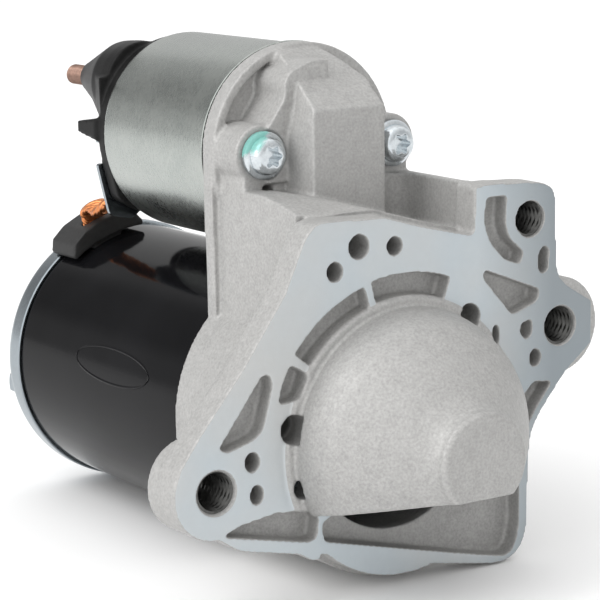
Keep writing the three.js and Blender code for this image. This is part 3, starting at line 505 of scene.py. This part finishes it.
STUD_COPPER = plated("stud_copper", (0.17, 0.11, 0.085), (0.33, 0.21, 0.17), (0.36, 0.5),
                     streaks=EVEN, speckle=700)
BRAID = plated("braid_copper", (0.50, 0.16, 0.055), (0.88, 0.38, 0.16), (0.32, 0.45),
               streaks=EVEN, speckle=1500)
BRONZE = plated("bronze", (0.36, 0.25, 0.12), (0.55, 0.40, 0.22), (0.35, 0.5), streaks=EVEN)
RUBBER = moulded("rubber", (0.014, 0.014, 0.014), 0.6, grain_mm=0.06, scale=900, specular=0.4)
PLASTIC = moulded("cap_plastic", (0.006, 0.006, 0.006), 0.42, specular=0.14)
CARBON = moulded("carbon", (0.05, 0.042, 0.038), 0.6)
FERRITE = moulded("ferrite", (0.06, 0.06, 0.065), 0.55)

FINISHES = {
    "cast_aluminium": CAST, "black_paint": BLACK_PAINT, "zinc_plate": COVER_ZINC, "steel": STEEL,
    "dark_steel": DARK_STEEL, "copper": COPPER, "sintered_bronze": BRONZE, "black_rubber": RUBBER,
    "black_plastic": PLASTIC, "carbon": CARBON, "ferrite": FERRITE,
}


def paint_cad_nodes():
    """Every CAD node gets the procedural finish of its slot, smooth across its facets."""
    slots = {entry["node"]: entry["material_slot"] for entry in frame["record"]["subparts"]}
    for name, obj in frame["nodes"].items():
        obj.data.materials.clear()
        obj.data.materials.append(FINISHES[slots[name]])
        shade_smooth(obj, 28)


# ---------------------------------------------------------------- drive housing
# Outlines are (x, z) corners, with a third number where a corner is rounded
FLANGE_OUTLINE = [
    (-53.5, -16.4), (-48, -20.3, 3), (-31, -24), (-27.5, -26.2, 1), (-25.2, -26.4), (-25, -25),
    (-11, -28.2, 3), (-5.5, -31.5, 3), (3, -31.7, 3), (6, -33, 3), (37.8, -38.8, 13), (38.4, -8, 10),
    (40.2, -2, 6), (50.5, 9.8), (58.5, 16), (58.5, 26.8), (48.8, 32.6, 4), (47.2, 36.5, 4), (46.9, 49.4, 8),
    (46.5, 58.4, 8), (26.7, 59.4, 3), (21.6, 59.1, 1), (21.3, 47.2, 2), (5, 51.2), (-5, 54.2),
    (-24.5, 55, 3), (-28, 52, 3), (-34, 39), (-46, 22.5), (-58, 8.5, 4), (-63.5, 1),
]
SKIRT_RECESS = [
    (-24.2, -17.5, 1), (-23.8, -21.9, 1), (23.5, -33.7, 10), (35.2, -36.1, 12), (35.3, -10, 6),
    (38.6, -1, 4), (45.8, 7.6, 1), (40, 8.2, 1), (35.4, 3.5, 2), (34.6, -8, 3), (31.3, -14.9),
    (-19, -14.9),
]
POCKETS = [
    [(-52.6, 5, 0.8), (-50.4, 3.9, 1), (-43.2, 5.9, 2), (-40.8, 7.6, 2), (-37.9, 18, 1.6), (-38.6, 20.6, 1),
     (-40.6, 20.6, 1), (-46, 13.5, 1)],
    [(-32.8, 22.1, 0.8), (-28, 19.3, 1.4), (-30.6, 13.6, 1.6), (-36, 13.2, 1.2), (-35.4, 16.5, 1)],
    [(-52.2, -16, 0.6), (-47, -14.2, 1), (-37.5, -12.9, 1), (-28.5, -13.6, 1), (-25.4, -15.6, 1.2),
     (-26.2, -20.9, 1), (-29, -21.1, 1)],
    [(25.2, 56, 0.8), (31.2, 56, 0.8), (30.7, 49.5, 1), (31.8, 45.6, 2), (36.6, 41.5, 1), (35.4, 38.7, 1),
     (30.4, 40.6, 1), (26, 45.4, 2), (24.3, 50.5, 2)],
    [(24.4, 38.3, 0.6), (34.5, 34.4), (41.6, 31.6, 0.8), (41, 28.9, 1), (33.2, 26.2, 1.2), (24.2, 36.2, 1)],
    [(41.6, 41, 1), (43, 42.6, 0.8), (44.6, 41.6, 0.8), (44.4, 36.2, 1), (42.4, 35.4, 1), (41.2, 37, 1)],
    [(35.9, 23.6, 0.8), (39.3, 24.3, 0.8), (39.2, 20.3, 1), (37.2, 19.3, 1), (35.6, 21.4, 0.8)],
]
# (x, z, half height, width over height)
CORED_HOLES = [
    (-13, 48, 2.9, 1), (-19.9, 42.7, 2.3, 0.95), (-2.6, 47.1, 2.2, 1), (19.7, 27.3, 3.2, 1),
    (-32, 6.6, 3.6, 1), (-43.7, 0.5, 2.3, 0.85), (-42.6, -7.5, 2.3, 0.75), (40.4, 14.4, 2.2, 0.8),
    (27.9, 21.6, 2.6, 0.4),
]
# (inner radius, outer radius, start and end in degrees)
ARC_SLOTS = [(34.6, 39.8, 107, 142), (34.9, 40.2, 70, 103.5)]
# (x, z, bore radius, mouth radius)
MOUNT_HOLES = [(-53.6, -5.3, 4.5, 5.9), (38.6, 49.6, 4.0, 4.9), (48.4, 21.6, 4.4, 5.5)]


def domed_nose():
    return turned("nose", [
        (0, 8.5), (DOME_R, 8.5), (DOME_R, -0.5), (32.2, -2.4), (31.8, -4.6), (31.1, -7.2), (30.1, -9.8),
        (28.8, -12.0), (27.2, -14.0), (24.8, -16.7), (22.2, -19.4), (19.1, -22.3), (16, -25), (14.2, -26.8),
        (13.0, -28.3), (BOSS_R, -29.8), (BOSS_R, -31.1), (BOSS_R - 0.9, -32), (0, -32)], 160)


def lever_block():
    """Cover over the shift lever: a square snout that runs back into the solenoid's seat."""
    top = SOL_Z + SEAT_R - 0.8
    side = sideways([(22, 5), (22, 77.9), (36, 88.2), (43, top), (HOUSING_REAR, top), (HOUSING_REAR, 5)],
                    -40, 40)
    plan = standing([(-10.6, 22), (10.6, 22), (11.2, 34), (11.2, HOUSING_REAR), (-12.2, HOUSING_REAR),
                     (-12.2, 31)], 5, 95)
    front = plate(outline([(-12.2, 5), (11.2, 5), (11.2, 84), (5.4, 91, 2), (-3, 92.4, 3), (-8.4, 90.5, 1),
                           (-9.2, 85), (-10.3, 77.9), (-12.2, 71)]), 22, HOUSING_REAR)
    combine(side, [plan], "INTERSECT")
    return combine(side, [front], "INTERSECT")


def web():
    """Deep web that carries the solenoid's seat above the barrel, lower on its right."""
    plan = standing([(-24.8, 9), (0, 6), (25.6, 6), (25.6, HOUSING_REAR), (-24.8, HOUSING_REAR)], 0, 61)
    side = sideways([(5, 0), (5, 54.2), (9.4, 55.6), (16.7, 57.6), (24.6, 58.7), (HOUSING_REAR, 58.7),
                     (HOUSING_REAR, 0)], -30, 30)
    front = plate([(-26, 0), (-26, 60.2), (-10.9, 57.2), (12.6, 50.5), (26.6, 46.6), (26.6, 0)],
                  5, HOUSING_REAR)
    combine(plan, [side], "INTERSECT")
    return combine(plan, [front], "INTERSECT")


def thread_liner(name, x, z, r):
    """Threaded wall of a mounting hole, set into the casting round it."""
    liner = rod(r + 1, 1.0, BORE_DEPTH - 1.5, x, z, 96)
    tap = threaded(r + 0.45, 0, BORE_DEPTH, pitch=1.5, depth=0.65, x=x, z=z, around=72)
    combine(liner, [tap], "DIFFERENCE")
    shade_smooth(liner, 50)
    return finish_piece(liner, name, CUT_THREAD, "cast_aluminium")


def housing():
    left_shoulder = outline([(0, 60), (0, 89.4), (-5, 89.2, 1), (-11.4, 86.8, 1.5), (-12.9, 83.9, 1),
                             (-12.9, 80.4, 1), (-18, 73.3), (-18, 60)])
    seat = rod(SEAT_R, 42.2, HOUSING_REAR, 0, SOL_Z, 192)
    recesses = [plate(sector(14.5, 24.4, start, end, z=SOL_Z), 40, 44.6)
                for start, end in ((104, 163), (17, 52))]
    combine(seat, recesses, "DIFFERENCE")
    added = [
        domed_nose(), tube(34.3, DOME_R - 1, -0.8, RECESS, 160),
        turned("barrel", [(0, 4.8), (35.4, 4.8), (35.6, 20), (36.4, 30), (36.4, HOUSING_REAR),
                          (0, HOUSING_REAR)], 192),
        web(), lever_block(), seat,
        standing(outline([(22.9, 3.4), (25.2, 6.5), (25.2, 34.5), (9, 34.5), (9, 31.3), (22.9, 31.3, 8)]),
                 20, 59.6),
        plate(left_shoulder, 31, HOUSING_REAR),
        plate([(0, 60), (18, 60), (18, 70), (15, 80), (10.6, 86), (0, 86)], 38, HOUSING_REAR),
        plate([(-SEAT_R, SOL_Z), (SEAT_R, SOL_Z), (26, 20), (-26, 20)], 43.5, HOUSING_REAR),
        block(-24.5, 24.5, SCREW_SEAT, 46.5, 40, SCREW_Z),
        rod(11.4, 0, 12.5, *MOUNT_HOLES[0][:2], 96), rod(7.6, 0, 15, *MOUNT_HOLES[1][:2], 96),
        rod(12.3, 0.6, 15, *MOUNT_HOLES[2][:2], 96),
    ]
    added += [rod(7.4, SCREW_SEAT, HOUSING_REAR, side * SCREW_X, SCREW_Z, 64) for side in (-1, 1)]
    added += [rod(5.4, RECESS, HOUSING_REAR, *on_orbit(BOLT_ORBIT, a)) for a in BOLT_ANGLES]

    removed = [
        turned("inside", [(0, 25), (23.5, 25), (23.5, -4), (21.5, -9.5), (17, -14.5), (10.5, -19.5),
                          (7.2, -19.6), (7.2, -28.3), (0, -28.3)], 128),
        rod(25, 7.5, 39.8, segments=128), rod(27.6, 39.3, PAST_REAR, segments=128),
        sideways([(24, 75), (PAST_REAR, 75), (PAST_REAR, 55), (40, 52), (40, 10), (24, 10)], -8, 8),
        block(-8.2, 8.2, 24.2, 44, SOL_Z - 7, SOL_Z + 7), rod(10.6, 43, PAST_REAR, 0, SOL_Z),
        sideways([(-40, -6.8), (0, -14.9), (0, -60), (-40, -60)], -45, 45),
        plate(outline(SKIRT_RECESS), -2, RECESS), rod(1.8, 30, 37, -17.7, 57.8),
    ]
    removed += [plate(outline(points, 4), -2, RECESS) for points in POCKETS]
    removed += [plate(sector(*slot_arc), -2, RECESS) for slot_arc in ARC_SLOTS]
    for x, z, r, narrowing in CORED_HOLES:
        ring = (2 * math.pi * k / 32 for k in range(32))
        corners = [(x + r * narrowing * math.cos(a), z + r * math.sin(a)) for a in ring]
        removed.append(plate(corners, -2, CORED_DEPTH))
    for x, z, r, mouth in MOUNT_HOLES:
        rim = mouth - 0.45              # the smoothed skin opens it out again
        removed.append(turned("bore", [(0, -1), (rim + 1, -1), (rim, 0), (r + 0.5, rim - r),
                                       (r + 0.5, BORE_DEPTH), (0, BORE_DEPTH)], 96, x, z))
    for side in (-1, 1):
        removed.append(rod(6.4, 16, SCREW_SEAT, side * SCREW_X, SCREW_Z))
        removed.append(rod(3.3, SCREW_SEAT - 1, PAST_REAR, side * SCREW_X, SCREW_Z))
    removed += [rod(BOLT_R + 0.3, -2, PAST_REAR, *on_orbit(BOLT_ORBIT, a)) for a in BOLT_ANGLES]

    body = plate(outline(FLANGE_OUTLINE), 0, 8)
    combine(body, added, "UNION")
    combine(body, removed, "DIFFERENCE")
    soften(body, VOXEL, 3)
    for k, (x, z, r, _) in enumerate(MOUNT_HOLES):
        thread_liner(f"thread_{k + 1}", x, z, r)
    return finish_piece(body, "housing_casting", CAST, "cast_aluminium", "drive_housing")


# ---------------------------------------------------------------- motor body
def motor_tube():
    shell = turned("yoke", [
        (YOKE_R - 0.3, YOKE_FRONT), (YOKE_R, YOKE_FRONT + 0.3), (YOKE_R, YOKE_REAR - 0.3),
        (YOKE_R - 0.3, YOKE_REAR), (YOKE_BORE, YOKE_REAR), (YOKE_BORE, YOKE_FRONT)], 192)
    notch = block(30, 40, 122.3, YOKE_REAR + 1, -5, 5)
    notch.data.transform(Matrix.Rotation(-math.radians(LEAD_ANGLE), 4, "Y"))
    combine(shell, [notch], "DIFFERENCE")
    shade_smooth(shell, 35)
    return finish_piece(shell, "motor_tube", BLACK_PAINT, "black_paint", "yoke")


def swept(path, section, name, closed=True):
    """Surface that carries a ring section of (side, up) offsets along points with their frames."""
    points, faces, count = [], [], len(section)
    for point, side, up in path:
        points.extend(point + side * a + up * b for a, b in section)
    rows = len(path)
    for i in range(rows if closed else rows - 1):
        j = (i + 1) % rows
        faces += [(i * count + k, i * count + (k + 1) % count, j * count + (k + 1) % count, j * count + k)
                  for k in range(count)]
    if not closed:
        faces += [tuple(range(count)), tuple(range((rows - 1) * count, rows * count))]
    return solid(name, points, faces)


def stamped_oval():
    """Blank oval outline stamped on the motor tube, on the side away from the ears."""
    middle_y, middle_z, half_y, half_z = 81.5, 8.0, 19.0, 4.6
    path = []
    for k in range(120):
        t = 2 * math.pi * k / 120
        angle = math.pi - (middle_z + half_z * math.sin(t)) / YOKE_R
        outward = Vector((math.cos(angle), 0, math.sin(angle)))
        upward = outward.cross(Vector((0, 1, 0)))
        tangent = Vector((0, -half_y * math.sin(t), 0)) + half_z * math.cos(t) * upward
        point = outward * YOKE_R + Vector((0, middle_y + half_y * math.cos(t), 0))
        path.append((point, tangent.normalized().cross(outward), outward))
    ridge = [(0.45, -0.05), (0.3, 0.12), (0, 0.18), (-0.3, 0.12), (-0.45, -0.05)]
    oval = swept(path, ridge, "oval")
    shade_smooth(oval)
    return finish_piece(oval, "stamped_oval", BLACK_PAINT, "black_paint")


def rear_cup():
    corner = [(33 + 3.8 * math.cos(a), 136.2 + 3.8 * math.sin(a)) for a in
              (math.radians(9 * k) for k in range(11))]
    shell = turned("cover", [
        (31, 129.6), (33.3, 129.6), (33.3, 131.8), (36.5, 131.8), (36.8, 132.1), *corner, (13, COVER_REAR),
        (11.4, 140.3), (10.4, 141.1), (9.6, 141.4), (0, 141.4), (0, 138.4), (6.9, 138.4), (6.9, 131),
        (9.2, 131), (9.2, 137.8), (31, 137.8)], 192)
    combine(shell, [rod(BOLT_R + 0.3, 128, 142, *on_orbit(BOLT_ORBIT, a)) for a in BOLT_ANGLES], "DIFFERENCE")
    shade_smooth(shell, 35)
    return finish_piece(shell, "rear_cup", COVER_ZINC, "zinc_plate", "rear_cover")


# ---------------------------------------------------------------- solenoid
def solenoid_shell():
    shell = turned("can", [
        (9.6, 47.8), (26.7, 47.8), (26.9, 48.0), (26.9, 48.5), (26.7, 48.7), (CAN_R, 48.9), (CAN_R, 97.4),
        (26.1, 98.1), (25.8, 98.7), (25.3, CAN_REAR), (24.9, 99.1), (24.7, CAN_REAR), (24.7, 50.9),
        (9.6, 50.9)], 192, 0, SOL_Z)
    combine(shell, [rod(3.3, 46, 52, s * SCREW_X, SCREW_Z) for s in (-1, 1)], "DIFFERENCE")
    shade_smooth(shell, 40)
    return finish_piece(shell, "solenoid_shell", CAN_ZINC, "zinc_plate", "solenoid_can")


def terminal_cap():
    base = turned("cap", [(0, 93.4), (24.4, 93.4), (24.4, 99.4), (25.2, 99.4), (25.2, 103), (24.4, 104),
                          (0, 104)], 128, 0, SOL_Z)
    tower = turned("tower", [(0, 103), (11.6, 103), (11.6, 107), (11.2, 112.4), (4.6, 130.4), (4.4, 131.2),
                             (4, TOWER_REAR), (0, TOWER_REAR)], 96, STUD_X, STUD_Z)
    fin = hull([(-13.4, 130.4, 76), (-13.6, 130.4, 80), (-8, 130.4, 75.6), (-24.6, 103, 81),
                (-24.3, 103, 69.5), (-12, 103, 68), (-10, 103, 84)])
    spade_boss = hull([(-26, 103, 64.2), (-26, 103, 70.4), (-21, 103, 70.4), (-21, 103, 64.2),
                       (-26.2, 112.6, 66), (-26.2, 112.6, 69), (-23.4, 112.6, 69), (-23.4, 112.6, 66)])
    wedge = plate(outline([(-4, 60), (-20, 63), (-24.1, 59), (-21.4, 48.5, 2), (-13, 43.8, 3),
                           (-4, 45.5, 2)]), 99.4, 104)
    combine(base, [tower, fin, spade_boss, wedge], "UNION")
    combine(base, [rod(21.8, 93, 101.5, 0, SOL_Z, 96), rod(STUD_R + 0.3, 100, 133, STUD_X, STUD_Z),
                   rod(2.7, 100, 105, -11.2, 53.2)], "DIFFERENCE")
    soften(base, 0.45, 4)
    return finish_piece(base, "terminal_cap", PLASTIC, "black_plastic", "solenoid_cap")


def threaded(r, y0, y1, pitch, depth, x, z, around=40):
    """Rod with a helical thread cut in its outside, tapered at its rear end."""
    steps_per_turn, lead_in, tip = 8, 0.8, 0.35
    rows = int((y1 - y0) / pitch * steps_per_turn)
    points, faces = [], []
    for i in range(rows + 1):
        y = y0 + (y1 - y0) * i / rows
        for k in range(around):
            turn = k / around
            wave = abs(((y / pitch - turn) % 1) * 2 - 1)
            taper = min(1.0, (y1 - y) / lead_in + tip)
            radius = (r - depth * wave) * taper if y > y1 - lead_in else r - depth * wave
            a = 2 * math.pi * turn
            points.append((x + radius * math.cos(a), y, z + radius * math.sin(a)))
    for i in range(rows):
        faces += [(i * around + k, i * around + (k + 1) % around, (i + 1) * around + (k + 1) % around,
                   (i + 1) * around + k) for k in range(around)]
    faces += [tuple(range(around)), tuple(range(rows * around, (rows + 1) * around))]
    return solid("thread", points, faces)


def battery_stud():
    stud = threaded(STUD_R, 131.2, 143, pitch=1.0, depth=0.32, x=STUD_X, z=STUD_Z)
    shank = rod(STUD_R - 0.1, 100, 131.6, STUD_X, STUD_Z)
    collar = rod(4.2, 99.1, 101.2, STUD_X, STUD_Z)
    combine(stud, [shank, collar], "UNION")
    shade_smooth(stud, 40)
    return finish_piece(stud, "threaded_stud", STUD_COPPER, "copper", "battery_stud")


def hexagon(corner_r, y0, y1, x, z, chamfer=0.5):
    """Hexagonal nut or head with the corners of both faces turned off."""
    ring = (math.radians(60 * k) for k in range(6))
    corners = [(x + corner_r * math.sin(a), z + corner_r * math.cos(a)) for a in ring]
    blank = plate(corners, y0, y1)
    flat = corner_r * math.cos(math.pi / 6)
    cone = turned("cone", [(0, y0), (flat, y0), (corner_r + 0.02, y0 + chamfer),
                           (corner_r + 0.02, y1 - chamfer), (flat, y1), (0, y1)], 64, x, z)
    return combine(blank, [cone], "INTERSECT")


def through_bolt(number, x, z):
    bolt = hexagon(4.5, 140.3, 143.9, x, z)
    combine(bolt, [rod(BOLT_R, 5.5, 141, x, z)], "UNION")
    shade_smooth(bolt, 30)
    return finish_piece(bolt, f"long_bolt_{number}", COVER_ZINC, "zinc_plate", f"through_bolt_{number}")


def marked_zinc():
    """Zinc of the left solenoid screw, with a dab of teal inspection paint on the upper left of its head."""
    n = Nodes("marked_screw_zinc", SCREW_ZINC)
    across = n.math("ADD", n.axis(n.place, "X"), SCREW_X * MM)
    up = n.math("SUBTRACT", n.axis(n.place, "Z"), SCREW_Z * MM)
    lean = n.math("SUBTRACT", n.math("MULTIPLY", up, 0.75), n.math("MULTIPLY", across, 0.6))
    edge = n.math("ADD", lean, n.math("MULTIPLY", n.noise(600, 3, 0.6), 2.6 * MM))
    mark = n.ramp(n.math("MULTIPLY", edge, 160.0, clamp=True), (0.72, 0.0), (0.86, 0.8))
    base = n.shader.inputs["Base Color"].links[0].from_socket
    color = n.mix(mark, base, (0.10, 0.42, 0.36))
    return n.shine(color, None, n.math("SUBTRACT", 1.0, mark))


def solenoid_screw(side, name, material):
    head = turned("screw", [
        (0, 27), (3.2, 27.05), (4.0, 27.4), (4.45, 28.1), (4.7, 29.2), (4.8, 29.9), (5.5, 30.05),
        (5.85, 30.35), (5.9, 30.6), (5.9, 31.7), (3, 31.7), (3, 50.6), (0, 50.6)], 96)
    star, lobes = [], 6
    for k in range(72):
        a = math.radians(5 * k)
        r = 2.4 + 0.42 * math.cos(lobes * a)
        star.append((r * math.cos(a), r * math.sin(a)))
    combine(head, [plate(star, 26, 29.3)], "DIFFERENCE")
    head.data.transform(Matrix.Translation(Vector((side * SCREW_X, 0, SCREW_Z)) * MM))
    shade_smooth(head, 35)
    return finish_piece(head, name, material, "zinc_plate", f"solenoid_screw_{name.split('_')[-1]}")


def return_spring():
    """Coil spring behind the plunger, built at its rest length; the real spring is pressed together against
    the core as the plunger is pulled in.
    """
    turns, steps, front, rear, coil, wire = 6, 32, 60.3, 84.9, 5.3, 0.7
    path = []
    for k in range(turns * steps + 1):
        a = 2 * math.pi * k / steps
        outward = Vector((math.cos(a), 0, math.sin(a)))
        along = front + wire + (rear - front - 2 * wire) * k / (turns * steps)
        path.append((outward * coil + Vector((0, along, SOL_Z)), outward, Vector((0, 1, 0))))
    ring = (2 * math.pi * k / 12 for k in range(12))
    spring = swept(path, [(wire * math.cos(a), wire * math.sin(a)) for a in ring], "spring", closed=False)
    shade_smooth(spring)
    finish_piece(spring, "coil_spring", STEEL, "steel", "return_spring")
    # 24.6 mm long at rest, and 10 mm shorter when the plunger is home
    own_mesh(spring)


# ---------------------------------------------------------------- grommet and lead
def grommet():
    outer = [(38.4, 92), (40.8, 95), (42, 102), (42.4, 110), (42, 118), (40.8, 125), (38.4, 128)]
    inner = [(37.1, a) for a in (128, 122, 116, 110, 104, 98, 92)]
    pad = plate([on_orbit(r, a) for r, a in outer + inner], 121.6, 135)
    plug = block(34, 39, 122.6, YOKE_REAR - 0.3, -4.7, 4.7)
    plug.data.transform(Matrix.Rotation(-math.radians(LEAD_ANGLE), 4, "Y"))
    combine(pad, [plug], "UNION")
    ring = (2 * math.pi * k / 48 for k in range(48))
    hole = sideways([(LEAD_Y + 1.8 * math.sin(a), 3.9 * math.cos(a)) for a in ring], 28, 48)
    hole.data.transform(Matrix.Rotation(-math.radians(LEAD_ANGLE), 4, "Y"))
    combine(pad, [hole], "DIFFERENCE")
    soften(pad, 0.4, 10)
    return finish_piece(pad, "rubber_grommet", RUBBER, "black_rubber", "lead_grommet")


def spline(points, per_span):
    """Smooth curve through the points (Catmull-Rom)."""
    ends = [points[0] * 2 - points[1], *points, points[-1] * 2 - points[-2]]
    curve = []
    for i in range(1, len(ends) - 2):
        a, b, c, d = ends[i - 1:i + 3]
        for k in range(per_span):
            t = k / per_span
            curve.append(0.5 * (2 * b + (c - a) * t + (2 * a - 5 * b + 4 * c - d) * t * t
                                + (3 * b - a - 3 * c + d) * t ** 3))
    return [*curve, points[-1]]


def motor_lead():
    """Flat copper braid from the motor terminal, in through the grommet to the brush plate."""
    # (station, distance from the motor axis, shift to the left)
    route = [(107.4, 50.5, 1.5), (109.6, 49.8, 2), (113.4, 47.8, 2), (118, 46.4, 1), (123, 46.4, 0),
             (126.3, 45, 0), (LEAD_Y, 42.6, 0), (LEAD_Y, 39, 0), (LEAD_Y, 35, 0), (LEAD_Y, 31, 0),
             (LEAD_Y + 0.9, 28, 0),
             (LEAD_Y + 1.3, 24, 0)]
    centre = spline([Vector((-shift, y, r)) for y, r, shift in route], 14)
    lanes, twists, half_width, half_height, wire = 13, 3.2, 2.85, 0.95, 0.56
    across = Vector((1, 0, 0))
    rng = random.Random(7)
    strands = []
    for lane in range(lanes):
        start = 2 * math.pi * lane / lanes
        phase = rng.uniform(0, 6.28)
        strand = []
        for i, point in enumerate(centre):
            ahead = (centre[min(i + 1, len(centre) - 1)] - centre[max(i - 1, 0)]).normalized()
            up = across.cross(ahead).normalized()
            t = i / (len(centre) - 1)
            a = start + 2 * math.pi * twists * t + 0.12 * math.sin(40 * t + phase)
            weave = 1 + 0.09 * math.sin(34 * t + 2 * phase)
            strand.append(point + across * half_width * math.cos(a) * weave
                          + up * half_height * math.sin(a) * weave)
        strands.append(strand)
    data = bpy.data.curves.new("braid", "CURVE")
    data.dimensions, data.bevel_depth, data.bevel_resolution = "3D", wire * MM, 2
    turn = Matrix.Rotation(-math.radians(LEAD_ANGLE - 90), 4, "Y")
    for strand in strands:
        line = data.splines.new("POLY")
        line.points.add(len(strand) - 1)
        for vertex, point in zip(line.points, strand):
            vertex.co = (*(turn @ point * MM), 1)
    curve = bpy.data.objects.new("braid", data)
    bpy.context.scene.collection.objects.link(curve)
    bpy.context.view_layer.update()
    mesh = bpy.data.meshes.new_from_object(curve.evaluated_get(bpy.context.evaluated_depsgraph_get()))
    bpy.data.objects.remove(curve)
    bpy.data.curves.remove(data)
    braid = add_object("braid", mesh)
    shade_smooth(braid)
    return finish_piece(braid, "copper_braid", BRAID, "copper", "motor_lead")


# ---------------------------------------------------------------- studio
def area_light(name, place, target, size, power):
    data = bpy.data.lights.new(name, "AREA")
    data.shape, data.size, data.energy = "DISK", size, power
    light = bpy.data.objects.new(name, data)
    light.location = place
    light.rotation_euler = (Vector(target) - Vector(place)).to_track_quat("-Z", "Y").to_euler()
    bpy.context.scene.collection.objects.link(light)


def pale_floor(lowest):
    """Round floor just under the starter's lowest point."""
    radius, gap, corners = 6, 0.0005, 72
    mesh = bpy.data.meshes.new("floor")
    turns = (math.radians(5 * k) for k in range(corners))
    ring = [(radius * math.cos(a), radius * math.sin(a), 0) for a in turns]
    mesh.from_pydata(ring, [], [tuple(range(corners))])
    floor = add_object("floor", mesh)
    floor.location.z = lowest - gap
    n = Nodes("floor")
    mesh.materials.append(n.shine((0.95, 0.95, 0.95), 0.8, 0.0, specular_ior_level=0.0))


def white_room():
    """A white room, brightest on the left, with a dim card behind the starter that the solenoid mirrors."""
    middle_glow, sideways_fall, endways_fall, strength = 1.36, -0.45, -0.62, 1.12
    card_direction = (-0.367, 0.812, 0.453)
    world = bpy.data.worlds.new("studio")
    world.use_nodes = True
    bpy.context.scene.world = world
    room = Tree(world.node_tree)
    background = room.tree.nodes["Background"]
    direction = room.add("ShaderNodeTexCoord").outputs["Generated"]
    across = room.math("MULTIPLY_ADD", room.axis(direction, "X"), sideways_fall, middle_glow)
    endways = room.math("ABSOLUTE", room.axis(direction, "Y"))
    glow = room.math("MULTIPLY_ADD", endways, endways_fall, across)
    toward = room.add("ShaderNodeVectorMath", operation="DOT_PRODUCT")
    toward.inputs[1].default_value = card_direction
    room.link(direction, toward.inputs[0])
    card = room.ramp(toward.outputs["Value"], (0.86, 1.0), (0.90, 0.55), (0.955, 0.55), (0.985, 0.3))
    light = room.add("ShaderNodeVectorMath", operation="MULTIPLY")
    room.link(card, light.inputs[0])
    room.link(glow, light.inputs[1])
    room.link(light.outputs[0], background.inputs["Color"])
    background.inputs["Strength"].default_value = strength


def studio(lowest):
    pale_floor(lowest)
    white_room()
    middle = (0, 0.05, 0.03)
    area_light("key", (-0.75, 0.1, 1.0), middle, size=0.6, power=3.0)
    area_light("left", (-1.1, 0.1, 0.5), middle, size=0.5, power=1.2)
    bpy.context.scene.view_settings.view_transform = "Standard"


paint_cad_nodes()
housing()
motor_tube()
stamped_oval()
rear_cup()
solenoid_shell()
terminal_cap()
battery_stud()
solenoid_screw(-1, "screw_left", marked_zinc())
solenoid_screw(1, "screw_right", SCREW_ZINC)
for bolt_number, bolt_angle in enumerate(BOLT_ANGLES, 1):
    through_bolt(bolt_number, *on_orbit(BOLT_ORBIT, bolt_angle))
return_spring()
grommet()
motor_lead()
studio(cad_box[0][2])
